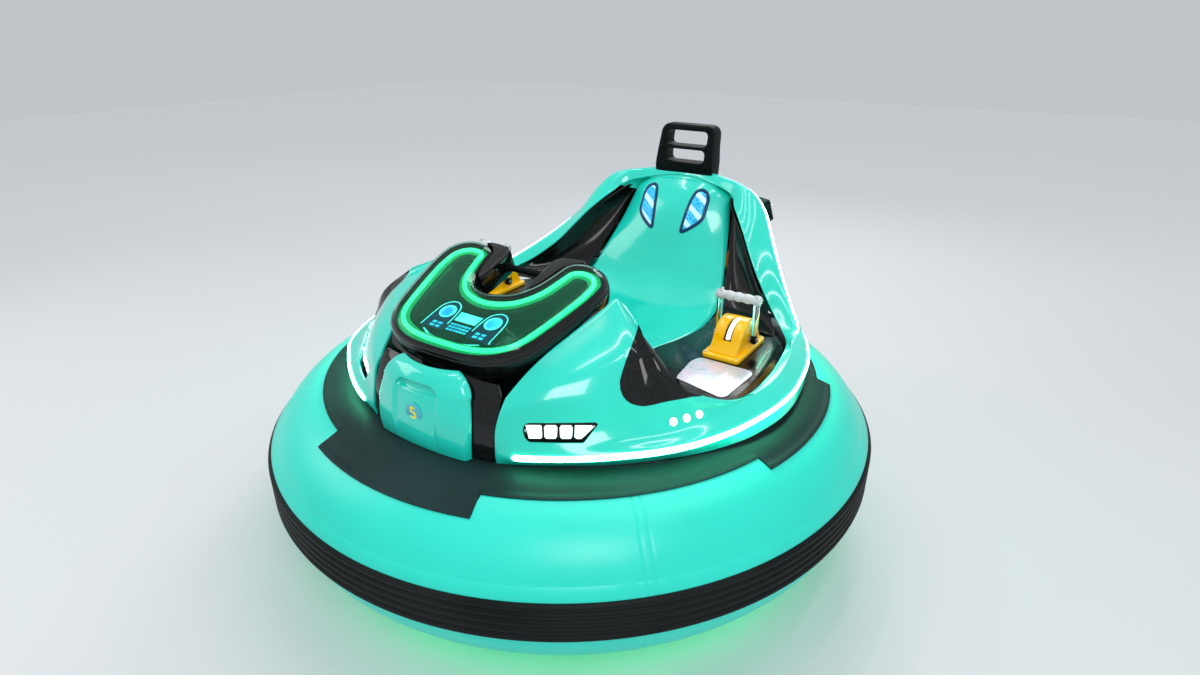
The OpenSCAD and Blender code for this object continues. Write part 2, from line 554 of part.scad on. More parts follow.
// Controls on the side decks
module info_plates() {
  color([0.85, 0.86, 0.9]) both() translate([0, 0, deck_z]) linear_extrude(height = 2)
    polygon([[430, -96], [418, 20], [426, 58], [440, 66], [596, 62], [608, 44], [598, -120], [584, -134]]);
}
module rounded_plate(x, y, w, l, r, h) {
  linear_extrude(height = h) union() {
    translate([x - w / 2 + r, y]) square([w - 2 * r, l]);
    translate([x - w / 2, y + r]) square([w, l - 2 * r]);
    for (i = [-1, 1], j = [r, l - r]) translate([x + i * (w / 2 - r), y + j]) circle(r = r, $fn = 32);
  }
}
module control_box() {
  difference() {
    union() {
      translate([0, 0, deck_z]) rounded_plate(box_x, 74, 122, 218, 14, 15);
      translate([box_x - 46, pivot_y, pivot_z - 13]) rotate([0, 90, 0]) cylinder(r = 76, h = 92, $fn = 72);
      translate([box_x - 46, 0, 0]) rotate([90, 0, 90]) linear_extrude(height = 92)
        polygon([[92, deck_z], [92, deck_z + 18], [128, deck_z + 62], [170, deck_z + 76], [220, deck_z + 76],
          [262, deck_z + 56], [280, deck_z + 18], [280, deck_z]]);
    }
    translate([box_x - 100, 0, deck_z - 100]) cube([200, 400, 100]);
    translate([box_x - 15, pivot_y - 62, pivot_z + 35]) cube([30, 124, 40]);
    for (s = [-1, 1]) translate([box_x + s * 41 - 6, pivot_y, pivot_z]) rotate([0, 90, 0]) cylinder(r = 8, h = 12, $fn = 40);
  }
  translate([box_x - 14.8, pivot_y - 60, pivot_z + 31]) cube([29.6, 120, 26]);
}
module control_box_left() { color([1, 0.72, 0.05]) control_box(); }
module control_box_right() { color([1, 0.72, 0.05]) mirror([1, 0, 0]) control_box(); }
module lever() {
  for (s = [-1, 1]) {
    translate([box_x + s * 59.5 - 7, pivot_y, pivot_z]) rotate([0, 90, 0]) cylinder(r = 14, h = 14, $fn = 48);
    translate([box_x + s * 53 - (s > 0 ? 14 : 0), pivot_y, pivot_z]) rotate([0, 90, 0]) cylinder(r = 7.95, h = 14, $fn = 40);
    translate([box_x + s * 59.5 - 6, pivot_y - 13, pivot_z]) cube([12, 26, 130]);
  }
  translate([box_x - 71, pivot_y, pivot_z + 128]) rotate([0, 90, 0]) cylinder(r = 15, h = 142, $fn = 48);
}
module lever_left() { color([0.85, 0.95, 1, 0.5]) lever(); }
module lever_right() { color([0.85, 0.95, 1, 0.5]) mirror([1, 0, 0]) lever(); }

// Belt reels on the back behind the shoulders, and the buckle lying beside the seat
module belt_fittings() {
  color([0.05, 0.05, 0.05]) union() {
    difference() {
      both() translate([300, 770, 890]) rotate([0, 0, -30]) rotate([20, 0, 0]) translate([-30, -9, -42]) cube([60, 62, 84]);
      patch(sill_end + 3, sill_end + 8, 6, 13, 0.3, 26);
      patch(rear_end - 8, rear_end - 3, 6, 13, 0.3, 26);
    }
    translate([-352, 300, deck_z]) union() {
      cube([22, 60, 8]);
      translate([-4, 40, 4]) cube([30, 84, 26]);
    }
  }
}
module inflation_valve() {
  a = tube_pt(46);
  b = tube_pt(36);
  m = (a + b) / 2;
  color([0.05, 0.05, 0.05]) rotate([0, 0, 150]) translate([0, -m[0], m[1]]) rotate([atan2(a[1] - b[1], b[0] - a[0]), 0, 0])
    translate([0, 0, 0.5]) cylinder(r = 28, h = 8, $fn = 48);
}

ring_tube();
bumper_band();
top_skirt();
under_glow();
chassis_pan();
battery_block();
drive_mounts();
drive_wheel_left();
drive_wheel_right();
caster_fork_front();
caster_fork_rear();
caster_wheel_front();
caster_wheel_rear();
raised() side_shell_left();
raised() side_shell_right();
raised() rear_sill();
raised() arm_arch();
raised() back_shell();
raised() charge_socket();
raised() rear_lamps();
raised() front_frame();
raised() front_panel();
raised() side_vents();
raised() head_lamps();
raised() side_lamps();
raised() sill_lights();
raised() arm_lights();
raised() dash_hood();
raised() dash_lens();
raised() dash_light();
raised() dash_display();
raised() grab_bar();
raised() cockpit_tub();
raised() side_linings();
seat_riser();
raised() seat_shell();
raised() seat_lamps();
raised() headrest_handle();
raised() info_plates();
raised() control_box_left();
raised() control_box_right();
raised() lever_left();
raised() lever_right();
raised() belt_fittings();
inflation_valve();
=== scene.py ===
# %% [markdown]
# Round bumper car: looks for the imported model.
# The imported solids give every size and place. This lesson dresses them: smooth mouldings are
# made again from the same stations, soft goods get their own skins, and every surface gets a
# finish made of nodes. Everything is in metres, floor at z 0, the car faces -Y.

# %% Load the frame
import json
import math
import bmesh
import bpy
from mathutils import Matrix, Vector
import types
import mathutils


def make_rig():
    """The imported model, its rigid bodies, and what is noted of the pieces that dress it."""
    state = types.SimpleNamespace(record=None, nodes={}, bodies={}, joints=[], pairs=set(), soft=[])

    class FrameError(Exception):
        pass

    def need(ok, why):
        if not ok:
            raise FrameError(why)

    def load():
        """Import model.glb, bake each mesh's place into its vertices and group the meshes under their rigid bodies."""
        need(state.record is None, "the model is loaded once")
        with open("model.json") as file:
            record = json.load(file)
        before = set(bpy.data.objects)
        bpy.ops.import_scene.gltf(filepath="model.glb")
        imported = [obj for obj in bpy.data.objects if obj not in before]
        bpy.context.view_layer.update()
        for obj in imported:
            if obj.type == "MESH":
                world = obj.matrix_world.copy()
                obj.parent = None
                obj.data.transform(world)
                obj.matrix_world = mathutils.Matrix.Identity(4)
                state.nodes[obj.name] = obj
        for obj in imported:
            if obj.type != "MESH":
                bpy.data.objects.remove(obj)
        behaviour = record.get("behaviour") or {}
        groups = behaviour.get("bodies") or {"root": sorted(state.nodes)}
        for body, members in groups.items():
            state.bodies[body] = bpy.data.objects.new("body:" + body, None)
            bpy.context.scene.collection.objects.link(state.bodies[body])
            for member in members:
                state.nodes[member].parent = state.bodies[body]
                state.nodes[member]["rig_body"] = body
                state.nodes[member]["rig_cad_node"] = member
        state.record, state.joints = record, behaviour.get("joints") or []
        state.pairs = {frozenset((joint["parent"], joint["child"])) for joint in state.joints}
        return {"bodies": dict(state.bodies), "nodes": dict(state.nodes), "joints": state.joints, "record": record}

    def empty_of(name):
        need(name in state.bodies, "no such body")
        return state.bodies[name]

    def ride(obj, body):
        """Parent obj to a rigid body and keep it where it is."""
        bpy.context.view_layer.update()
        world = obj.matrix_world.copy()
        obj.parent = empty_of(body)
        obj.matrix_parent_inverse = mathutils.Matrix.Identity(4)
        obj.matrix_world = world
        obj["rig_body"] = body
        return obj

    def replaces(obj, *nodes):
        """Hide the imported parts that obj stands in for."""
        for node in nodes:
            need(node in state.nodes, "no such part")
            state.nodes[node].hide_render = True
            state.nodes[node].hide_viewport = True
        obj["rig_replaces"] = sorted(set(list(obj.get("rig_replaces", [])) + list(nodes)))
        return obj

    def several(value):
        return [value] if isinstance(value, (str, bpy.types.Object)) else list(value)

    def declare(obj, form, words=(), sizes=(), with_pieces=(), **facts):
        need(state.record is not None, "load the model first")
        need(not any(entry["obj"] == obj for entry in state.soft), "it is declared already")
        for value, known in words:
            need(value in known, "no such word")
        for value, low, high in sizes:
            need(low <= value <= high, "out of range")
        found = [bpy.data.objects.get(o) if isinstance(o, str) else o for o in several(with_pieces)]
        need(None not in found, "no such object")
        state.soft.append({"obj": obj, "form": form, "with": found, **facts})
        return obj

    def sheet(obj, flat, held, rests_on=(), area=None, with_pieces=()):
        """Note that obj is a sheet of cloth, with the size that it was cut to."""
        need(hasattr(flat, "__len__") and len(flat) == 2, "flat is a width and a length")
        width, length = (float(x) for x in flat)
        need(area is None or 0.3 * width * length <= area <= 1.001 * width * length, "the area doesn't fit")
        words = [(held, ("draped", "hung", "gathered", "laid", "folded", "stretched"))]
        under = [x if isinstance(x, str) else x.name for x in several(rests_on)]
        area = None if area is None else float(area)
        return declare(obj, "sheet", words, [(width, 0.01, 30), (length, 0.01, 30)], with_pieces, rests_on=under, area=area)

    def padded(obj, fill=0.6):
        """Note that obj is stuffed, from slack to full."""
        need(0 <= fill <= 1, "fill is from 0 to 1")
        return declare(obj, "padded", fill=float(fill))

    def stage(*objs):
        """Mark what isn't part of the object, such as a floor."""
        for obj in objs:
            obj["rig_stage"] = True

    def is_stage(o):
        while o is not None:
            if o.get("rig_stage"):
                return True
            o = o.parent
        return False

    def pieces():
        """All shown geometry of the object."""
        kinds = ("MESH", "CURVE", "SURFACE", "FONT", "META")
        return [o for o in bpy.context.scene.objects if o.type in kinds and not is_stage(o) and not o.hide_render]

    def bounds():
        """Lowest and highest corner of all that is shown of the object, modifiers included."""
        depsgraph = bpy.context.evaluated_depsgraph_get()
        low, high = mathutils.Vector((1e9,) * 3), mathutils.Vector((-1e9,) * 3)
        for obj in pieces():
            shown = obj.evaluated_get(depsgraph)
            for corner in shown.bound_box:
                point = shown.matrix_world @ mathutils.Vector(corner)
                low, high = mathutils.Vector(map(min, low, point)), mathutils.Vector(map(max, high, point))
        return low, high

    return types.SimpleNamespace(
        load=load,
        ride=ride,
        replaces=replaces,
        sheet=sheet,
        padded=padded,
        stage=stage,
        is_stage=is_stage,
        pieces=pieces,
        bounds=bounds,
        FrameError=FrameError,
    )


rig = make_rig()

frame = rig.load()
node = frame["nodes"]
cad_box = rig.bounds()
MM = 0.001
print("nodes", len(node), "box", cad_box)

# %% [markdown]
# The camera stands where an adult's eyes are, in front of the car on its driver's left side. It
# could be moved by hand until the view looks right; here its place and lens were worked out from
# edges of the car whose real sizes are known, so that every edge falls in its place at once.

# %% Camera
eye = bpy.data.objects.new("eye", bpy.data.cameras.new("eye"))
bpy.context.collection.objects.link(eye)
eye.location = (1.238, -1.723, 1.552)
eye.rotation_euler = Vector((-0.50030, 0.76271, -0.40984)).to_track_quat("-Z", "Y").to_euler()
eye.data.sensor_width = 36.0
FOCAL_PX, PHOTO_WIDE = 707.26, 1200.0
eye.data.lens = FOCAL_PX * eye.data.sensor_width / PHOTO_WIDE
eye.data.clip_end = 60.0
bpy.context.scene.camera = eye
bpy.context.scene.view_settings.view_transform = "Standard"
print("lens", round(eye.data.lens, 2))

# %% [markdown]
# A finish is a Principled shader whose colour, roughness and relief come from noise in object
# coordinates, so it sits in the surface at its real scale. Three small helpers keep the recipe
# short: one adds a node and sets its inputs, one gives a colour ramp with two stops, and one
# lays a colour over another where a mask is bright.

# %% Helpers for nodes
def add(tree, kind, **values):
    """A new shader node; each input named gets its value."""
    made = tree.nodes.new("ShaderNode" + kind)
    for socket, value in values.items():
        made.inputs[socket.replace("_", " ")].default_value = value
    return made


def ramp(tree, mask, low, high, dark=(0, 0, 0), pale=(1, 1, 1)):
    """Colour of a ramp over the mask: dark up to the value low, pale from high on."""
    made = add(tree, "ValToRGB")
    for stop, position, colour in zip(made.color_ramp.elements, (low, high), (dark, pale)):
        stop.position, stop.color = position, (*colour, 1.0)
    tree.links.new(mask, made.inputs["Fac"])
    return made.outputs["Color"]


def laid_over(tree, below, colour, mask):
    """Lays a colour over what is below it, as far as the mask is bright."""
    mix = add(tree, "MixRGB", Color2=(*colour, 1.0))
    tree.links.new(mask, mix.inputs["Fac"])
    tree.links.new(below, mix.inputs["Color1"])
    return mix.outputs["Color"]


print("node helpers ready")

# %% [markdown]
# One recipe makes all the finishes, because real ones differ mostly in a few values: two near
# colours in soft patches, roughness that wanders with them, a fine relief, and for some of them
# pale specks for metal flakes whose sparkle is a painted glint, stripes, clear coat or light of
# their own, which on parts that are no lamps is a painted glow. Painted image textures could do
# the same, but noise needs no unwrapping and stays sharp at any distance.

# %% Recipe for a finish
PATCH_LOW, PATCH_HIGH = 0.38, 0.66
STRIPE_LOW, STRIPE_HIGH = 0.62, 0.86
GLINT_EDGE = 0.04


def finish(name, colour, second, rough, bump=0.0, grain=900.0, patch=3.0, rough_spread=0.08, metal=0.0,
           coat=0.0, painted_glints=None, stripes=None, lit=0.0, clear=0.0, ior=1.5, distance=0.0006):
    """Painted glint specks: (number per metre, size, colour), pale dots for flakes' sparkle; stripes: (number per
    metre, colour).
    """
    mat = bpy.data.materials.new(name)
    mat.use_nodes = True
    nt = mat.node_tree
    link = nt.links.new
    place = add(nt, "TexCoord").outputs["Object"]
    blotch = add(nt, "TexNoise", Scale=patch, Detail=4.0)
    link(place, blotch.inputs["Vector"])
    tint = ramp(nt, blotch.outputs["Fac"], PATCH_LOW, PATCH_HIGH, colour, second)
    # painted glint: pale specks laid into the base colour stand for the sparkle of metal flakes
    if painted_glints:
        cells = add(nt, "TexVoronoi", Scale=painted_glints[0])
        link(place, cells.inputs["Vector"])
        dots = ramp(nt, cells.outputs["Distance"], painted_glints[1], painted_glints[1] + GLINT_EDGE, (1, 1, 1), (0, 0, 0))
        tint = laid_over(nt, tint, painted_glints[2], dots)
    if stripes:
        wave = add(nt, "TexWave", Scale=stripes[0], Distortion=2.5)
        wave.bands_direction = "DIAGONAL"
        link(place, wave.inputs["Vector"])
        tint = laid_over(nt, tint, stripes[1], ramp(nt, wave.outputs["Fac"], STRIPE_LOW, STRIPE_HIGH))
    shader = nt.nodes["Principled BSDF"]
    link(tint, shader.inputs["Base Color"])
    spread = add(nt, "MapRange", To_Min=max(rough - rough_spread, 0.02), To_Max=min(rough + rough_spread, 1.0))
    link(blotch.outputs["Fac"], spread.inputs["Value"])
    link(spread.outputs["Result"], shader.inputs["Roughness"])
    if bump:
        fine = add(nt, "TexNoise", Scale=grain, Detail=3.0)
        link(place, fine.inputs["Vector"])
        relief = add(nt, "Bump", Strength=bump, Distance=distance)
        link(fine.outputs["Fac"], relief.inputs["Height"])
        link(relief.outputs["Normal"], shader.inputs["Normal"])
    for socket, value in (("Metallic", metal), ("IOR", ior), ("Coat Weight", coat), ("Coat Roughness", 0.04),
                          ("Transmission Weight", clear)):
        shader.inputs[socket].default_value = value
    if lit:
        link(tint, shader.inputs["Emission Color"])
        shader.inputs["Emission Strength"].default_value = lit
    return mat


# %% [markdown]
# The colours of this car: mint gel coat and piano black, both with pale specks for metal flakes whose
# sparkle is a painted glint, satin air-ring vinyl, black rubber, grained leathercloth, amber lever
# boxes with a faint painted glow, clear acrylic and lamps.
# The values were set by rendering, comparing small patches with the same patches of the photo,
# and changing one value at a time.

# %% The car's finishes
# gel coat and piano black carry painted glint specks: pale dots in the colour for the sparkle of flakes
gel_coat = finish("gel_coat_mint", (0.010, 0.700, 0.545), (0.016, 0.785, 0.625), 0.16, bump=0.05, grain=60,
                  coat=0.7, painted_glints=(700, 0.05, (0.35, 1.0, 0.9)), distance=0.0004)
piano_black = finish("piano_black_flecks_painted_glints", (0.002, 0.003, 0.003), (0.005, 0.007, 0.007), 0.10, bump=0.04,
                     grain=70, coat=0.35, painted_glints=(420, 0.085, (0.30, 0.40, 0.38)), distance=0.0004, ior=1.3)
deck_black = finish("deck_black", (0.003, 0.004, 0.004), (0.007, 0.008, 0.008), 0.18, bump=0.05, grain=90,
                    coat=0.2, ior=1.3)
ring_vinyl = finish("ring_vinyl", (0.012, 0.715, 0.560), (0.022, 0.800, 0.640), 0.34, bump=0.25, grain=420,
                    patch=1.6, distance=0.0003)
band_rubber = finish("band_rubber", (0.006, 0.008, 0.008), (0.013, 0.016, 0.016), 0.52, bump=0.35, grain=650,
                     ior=1.22)
leathercloth = finish("leathercloth", (0.008, 0.024, 0.024), (0.015, 0.040, 0.040), 0.50, bump=0.6, grain=520,
                      distance=0.0005, ior=1.22)
satin_black = finish("satin_black", (0.003, 0.006, 0.006), (0.006, 0.010, 0.010), 0.42, bump=0.30, grain=700,
                     ior=1.15)
# the amber box is no lamp: its faint light of its own is a painted glow
amber_box = finish("amber_box", (0.97, 0.52, 0.000), (1.00, 0.60, 0.002), 0.22, bump=0.05, grain=80, coat=0.3,
                   lit=0.08)
clear_dome = finish("clear_dome", (0.42, 0.92, 0.72), (0.50, 0.96, 0.78), 0.02, rough_spread=0.01, clear=1.0,
                    ior=1.2)
clear_bar = finish("clear_bar", (0.93, 0.98, 1.0), (0.99, 1.0, 1.0), 0.06, rough_spread=0.02, clear=1.0,
                   ior=1.3)
grip_white = finish("grip_white", (0.80, 0.84, 0.86), (0.90, 0.93, 0.94), 0.30, bump=0.1, grain=300,
                    clear=0.25, ior=1.3)
white_light = finish("white_light", (0.80, 1.0, 0.94), (1.0, 1.0, 1.0), 0.30, patch=14, lit=1.5)
green_light = finish("green_light", (0.05, 0.80, 0.36), (0.10, 0.92, 0.44), 0.30, patch=9, lit=1.7)
floor_light = finish("floor_light", (0.02, 0.9, 0.30), (0.05, 1.0, 0.40), 0.30, patch=9, lit=5.0)
line_light = finish("line_light", (0.10, 1.0, 0.50), (0.16, 1.0, 0.58), 0.30, patch=14, lit=28.0)
blue_light = finish("blue_light", (0.02, 0.30, 0.85), (0.06, 0.62, 1.0), 0.30, patch=16, lit=1.1)
cyan_light = finish("cyan_light", (0.10, 0.75, 0.95), (0.25, 0.95, 1.0), 0.30, patch=22, lit=1.2)
prism_blue = finish("prism_blue", (0.004, 0.26, 0.62), (0.10, 0.76, 1.0), 0.14, bump=0.3, grain=240, patch=190,
                    lit=0.3, stripes=(7, (0.55, 0.92, 1.0)), ior=1.3)
frame_blue = finish("frame_blue", (0.001, 0.030, 0.100), (0.002, 0.050, 0.150), 0.22, bump=0.05, grain=90,
                    coat=0.2, ior=1.3)
lamp_amber = finish("lamp_amber", (0.95, 0.30, 0.01), (1.0, 0.42, 0.02), 0.10, bump=0.4, grain=260, patch=30,
                    coat=0.7, lit=0.15)
chrome = finish("lamp_chrome", (0.72, 0.74, 0.75), (0.82, 0.84, 0.85), 0.16, metal=1.0, bump=0.05, grain=90)
zinc = finish("zinc_plate", (0.42, 0.43, 0.45), (0.58, 0.59, 0.60), 0.38, metal=1.0, bump=0.25, grain=260,
              patch=25)
pan_paint = finish("pan_paint", (0.020, 0.021, 0.023), (0.035, 0.036, 0.038), 0.48, bump=0.4, grain=380)
motor_grey = finish("motor_grey", (0.10, 0.105, 0.11), (0.16, 0.165, 0.17), 0.45, metal=0.3, bump=0.3,
                    grain=300)
tyre_rubber = finish("tyre_rubber", (0.016, 0.016, 0.016), (0.035, 0.034, 0.033), 0.72, bump=0.5, grain=480)
battery_case = finish("battery_case", (0.020, 0.022, 0.026), (0.034, 0.036, 0.040), 0.55, bump=0.3, grain=420)
foil = finish("foil_plate", (0.62, 0.70, 0.78), (0.84, 0.70, 0.80), 0.28, metal=0.3, bump=0.15, grain=150,
              patch=30)
print("finishes", len(bpy.data.materials))

# %% [markdown]
# Moulded skins run smoothly through a few stations. Such a skin could be sculpted, or laid with
# curved patches; here a point of it is worked out at any place between the stations, the way a
# boat builder bends battens through frames. The same few numbers then shape every moulding.

# %% Bend a skin through stations
def bent(a, b, c, d, t):
    """Smooth curve through four values: b at t 0, c at t 1."""
    return 0.5 * ((2 * b) + (c - a) * t + (2 * a - 5 * b + 4 * c - d) * t * t
                  + (3 * b - a - 3 * c + d) * t ** 3)


def along(row, t):
    """The point at t along one row of control points."""
    i = min(int(t), len(row) - 2)
    last = len(row) - 1
    return bent(row[max(i - 1, 0)], row[i], row[i + 1], row[min(i + 2, last)], t - i)


def on_skin(stations, u, v):
    """The point of a skin at u along its stations and v up each of them."""
    i = min(int(u), len(stations) - 2)
    last = len(stations) - 1
    rows = [along(stations[k], v) for k in (max(i - 1, 0), i, i + 1, min(i + 2, last))]
    return bent(*rows, u - i)


def facing(stations, u, v, e=0.02):
    """Straight out of the skin at u, v, from short steps both ways."""
    m, n = len(stations) - 1, len(stations[0]) - 1
    du = on_skin(stations, min(u + e, m), v) - on_skin(stations, max(u - e, 0), v)
    dv = on_skin(stations, u, min(v + e, n)) - on_skin(stations, u, max(v - e, 0))
    return du.cross(dv).normalized()


print("a curve halfway through 0, 0, 1, 1 gives", bent(0, 0, 1, 1, 0.5))

# %% [markdown]
# A piece starts as loose faces in a bmesh. It becomes a mesh with one material, smooth shading
# and sharp edges above an angle. Modifiers are settled into the mesh at once: they could stay
# live, but then a later cut or weld would not see their result.

# %% From faces to pieces
def new_piece(name, bm, mat, smooth=40):
    mesh = bpy.data.meshes.new(name)
    bm.to_mesh(mesh)
    bm.free()
    mesh.polygons.foreach_set("use_smooth", [True] * len(mesh.polygons))
    mesh.set_sharp_from_angle(angle=math.radians(smooth))
    mesh.materials.append(mat)
    ob = bpy.data.objects.new(name, mesh)
    bpy.context.collection.objects.link(ob)
    return ob


def settle(ob, smooth=40):
    bpy.context.view_layer.update()
    mesh = bpy.data.meshes.new_from_object(ob.evaluated_get(bpy.context.evaluated_depsgraph_get()))
    ob.modifiers.clear()
    old, ob.data = ob.data, mesh
    bpy.data.meshes.remove(old)
    mesh.polygons.foreach_set("use_smooth", [True] * len(mesh.polygons))
    mesh.set_sharp_from_angle(angle=math.radians(smooth))
    return ob


print("pieces can be made")

# %% [markdown]
# Most skins of the car are sheets with an even wall. The grid operator gives a flat sheet of
# faces, each corner goes to its place, Solidify gives the wall, and a small Bevel takes the
# sharpness off the rims, as a moulded edge is never knife sharp.

# %% Sheets, walls and mouldings
def grid_sheet(across, down, place):
    """A grid whose corner (i, j) goes to place(i / across, j / down)."""
    bm = bmesh.new()
    bmesh.ops.create_grid(bm, x_segments=across, y_segments=down, size=0.5)
    for v in bm.verts:
        v.co = place(v.co.x + 0.5, v.co.y + 0.5)
    return bm


def wall(ob, thick, edge=0.0012):
    """Gives a sheet its wall, inwards, with rounded rims."""
    solid = ob.modifiers.new("wall", "SOLIDIFY")
    solid.thickness = thick
    solid.offset = -1.0
    solid.use_quality_normals = True
    if edge:
        soft = ob.modifiers.new("edge", "BEVEL")
        soft.width = edge
        soft.segments = 2
        soft.limit_method = "ANGLE"
        soft.angle_limit = math.radians(50)
    return settle(ob)


def moulding(name, stations, u, v, dense, mat, thick=0.006, lift=0.0, edge=0.0012):
    """Part of a skin, from u[0] to u[1] and v[0] to v[1], lifted out or in, with its wall."""
    def place(s, t):
        a, b = u[0] + (u[1] - u[0]) * s, v[0] + (v[1] - v[0]) * t
        p = on_skin(stations, a, b)
        return p + facing(stations, a, b) * lift if lift else p
    return wall(new_piece(name, grid_sheet(*dense, place), mat), thick, edge)


print("sheets can be made")

# %% [markdown]
# Things that are screwed together on the car and never move become one piece: a weld copies
# their faces into one mesh and keeps each material. Openings are cut with the exact Boolean,
# which leaves clean rims even in thin walls.

# %% Weld and cut
def weld(*obs):
    """Joins finished pieces into the first one."""
    bm = bmesh.new()
    mats = []
    for ob in obs:
        part = ob.data.copy()
        for m in ob.data.materials:
            if m not in mats:
                mats.append(m)
        table = [mats.index(m) for m in ob.data.materials]
        for p in part.polygons:
            p.material_index = table[p.material_index]
        bm.from_mesh(part)
        bpy.data.meshes.remove(part)
    keep = obs[0]
    keep.data.materials.clear()
    for m in mats:
        keep.data.materials.append(m)
    bm.to_mesh(keep.data)
    bm.free()
    for ob in obs[1:]:
        bpy.data.objects.remove(ob)
    return keep


def cut(ob, *tools, how="DIFFERENCE"):
    """Cuts a piece with one tool after the other; the tools are used up."""
    for tool in tools:
        b = ob.modifiers.new("cut", "BOOLEAN")
        b.operation = how
        b.solver = "EXACT"
        b.object = tool
        settle(ob, 30)
        bpy.data.objects.remove(tool)
    return ob


print("pieces can be welded and cut")

# %% [markdown]
# Bars, blocks, plates and turned parts are the plain forms that a workshop makes first. Each is
# one operator (cone, cube, extrude, spin) and a bevel along its rims: less work than drawing
# faces by hand, and the rims catch the light as real ones do.

# %% Plain forms
def pin(name, a, b, r, mat, edge=0.0, around=48):
    """A round bar from a to b, with its rims rounded."""
    a, b = Vector(a), Vector(b)
    bm = bmesh.new()
    turn = (b - a).to_track_quat("Z", "Y").to_matrix().to_4x4()
    bmesh.ops.create_cone(bm, cap_ends=True, segments=around, radius1=r, radius2=r, depth=(b - a).length,
                          matrix=Matrix.Translation((a + b) / 2) @ turn)
    if edge:
        rims = [e for e in bm.edges if len(e.link_faces) == 2 and any(len(f.verts) > 4 for f in e.link_faces)]
        bmesh.ops.bevel(bm, geom=rims, offset=edge, segments=3, affect="EDGES", profile=0.5, material=-1)
    return new_piece(name, bm, mat)


def block(name, size, at, mat, edge=0.002):
    """A box of a size round a place, with its edges rounded."""
    bm = bmesh.new()
    bmesh.ops.create_cube(bm, size=1.0)
    bmesh.ops.scale(bm, vec=size, verts=bm.verts)
    if edge:
        bmesh.ops.bevel(bm, geom=bm.edges[:], offset=edge, segments=3, affect="EDGES", profile=0.5, material=-1)
    bmesh.ops.translate(bm, vec=at, verts=bm.verts)
    return new_piece(name, bm, mat)


def slab(name, outline, low, high, mat, edge=0.002, place=None, segments=3):
    """A plate of any outline from height low to high, its rims rounded, then set by place."""
    bm = bmesh.new()
    face = bm.faces.new([bm.verts.new((x, y, low)) for x, y in outline])
    if face.normal.z > 0 or sum(a[0] * b[1] - b[0] * a[1] for a,
                                b in zip(outline, outline[1:] + outline[:1])) > 0:
        face.normal_flip()
    up = bmesh.ops.extrude_face_region(bm, geom=[face])["geom"]
    bmesh.ops.translate(bm, vec=(0, 0, high - low), verts=[g for g in up if isinstance(g, bmesh.types.BMVert)])
    bmesh.ops.recalc_face_normals(bm, faces=bm.faces[:])
    if edge:
        rims = [e for e in bm.edges if abs(e.verts[0].co.z - e.verts[1].co.z) < 1e-6]
        bmesh.ops.bevel(bm, geom=rims, offset=edge, segments=segments, affect="EDGES", profile=0.5, material=-1)
    if place is not None:
        bmesh.ops.transform(bm, matrix=place, verts=bm.verts)
    return new_piece(name, bm, mat)


def turned(name, profile, mat, steps=192, place=None, smooth=40, closed=True):
    """A profile of (radius, height) spun full round the upright axis, then set by place."""
    bm = bmesh.new()
    verts = [bm.verts.new((r, 0, z)) for r, z in profile]
    pairs = list(zip(verts, verts[1:])) + ([(verts[-1], verts[0])] if closed else [])
    edges = [bm.edges.new(p) for p in pairs]
    bmesh.ops.spin(bm, geom=verts + edges, cent=(0, 0, 0), axis=(0, 0, 1), angle=math.tau, steps=steps,
                   use_merge=True)
    bmesh.ops.remove_doubles(bm, verts=bm.verts, dist=1e-6)
    bmesh.ops.recalc_face_normals(bm, faces=bm.faces[:])
    if place is not None:
        bmesh.ops.transform(bm, matrix=place, verts=bm.verts)
    return new_piece(name, bm, mat, smooth)


print("plain forms ready")

# %% [markdown]
# Tubes are swept along a row of points, which is first bent smooth like the skins. A curve with
# a bevel depth would do too, but a grid wrapped round the points can also be flattened. The
# last helper hands a piece to the body that carries it and names the solid it stands for.

# %% Tubes, smooth rows, hand-over
def hose(name, points, r, mat, closed=False, around=12, flat=1.0, up=None):
    """A round or flattened tube swept along points."""
    pts = [Vector(p) for p in points]
    n = len(pts)
    def place(s, t):
        i = min(int(round(s * (n if closed else n - 1))), n if closed else n - 1) % n
        a, b = pts[(i - 1) % n if closed else max(i - 1, 0)], pts[(i + 1) % n if closed else min(i + 1, n - 1)]
        d = (b - a).normalized()
        w = (up[i] if isinstance(up, list) else up or Vector((0, 0, 1)))
        side = d.cross(w).normalized()
        top = side.cross(d).normalized()
        ang = math.tau * t
        return pts[i] + side * (r * math.cos(ang)) + top * (r * flat * math.sin(ang))
    bm = grid_sheet(n if closed else n - 1, around, place)
    bmesh.ops.remove_doubles(bm, verts=bm.verts, dist=1e-6)
    if not closed:
        bmesh.ops.holes_fill(bm, edges=[e for e in bm.edges if e.is_boundary], sides=0)
    bmesh.ops.recalc_face_normals(bm, faces=bm.faces[:])
    return new_piece(name, bm, mat, 60)


def smooth_row(points, steps, closed=False):
    """More points through the given ones, bent the same way as the skins."""
    pts = [Vector(p) for p in points]
    n = len(pts)
    out = []
    for i in range(n if closed else n - 1):
        four = [pts[(i + k) % n] if closed else pts[max(0, min(i + k, n - 1))] for k in (-1, 0, 1, 2)]
        out += [bent(*four, k / steps) for k in range(steps)]
    return out if closed else out + [pts[-1]]


def stands_for(ob, *names, body="car"):
    """Rides a piece on a body and lets it take the place of the named solids."""
    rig.ride(ob, body)
    if names:
        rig.replaces(ob, *names)
    return ob


print("helpers ready")

# %% [markdown]
# The body's stations, in millimetres. Each row is one cut through the body at an angle round from
# the front, with six points: lower edge, under the light line, over it, ledge, crown and inner
# edge. The rows are measured on one half; the other half is their mirror image.

# %% Stations of the body
def by_angle(angle, table):
    for (a, x), (b, y) in zip(table, table[1:]):
        if a <= angle <= b:
            return x + (y - x) * (angle - a) / (b - a)
    return table[0][1] if angle < table[0][0] else table[-1][1]


def polar(r, angle, z):
    t = math.radians(angle)
    return Vector((r * math.sin(t), -r * math.cos(t), z))


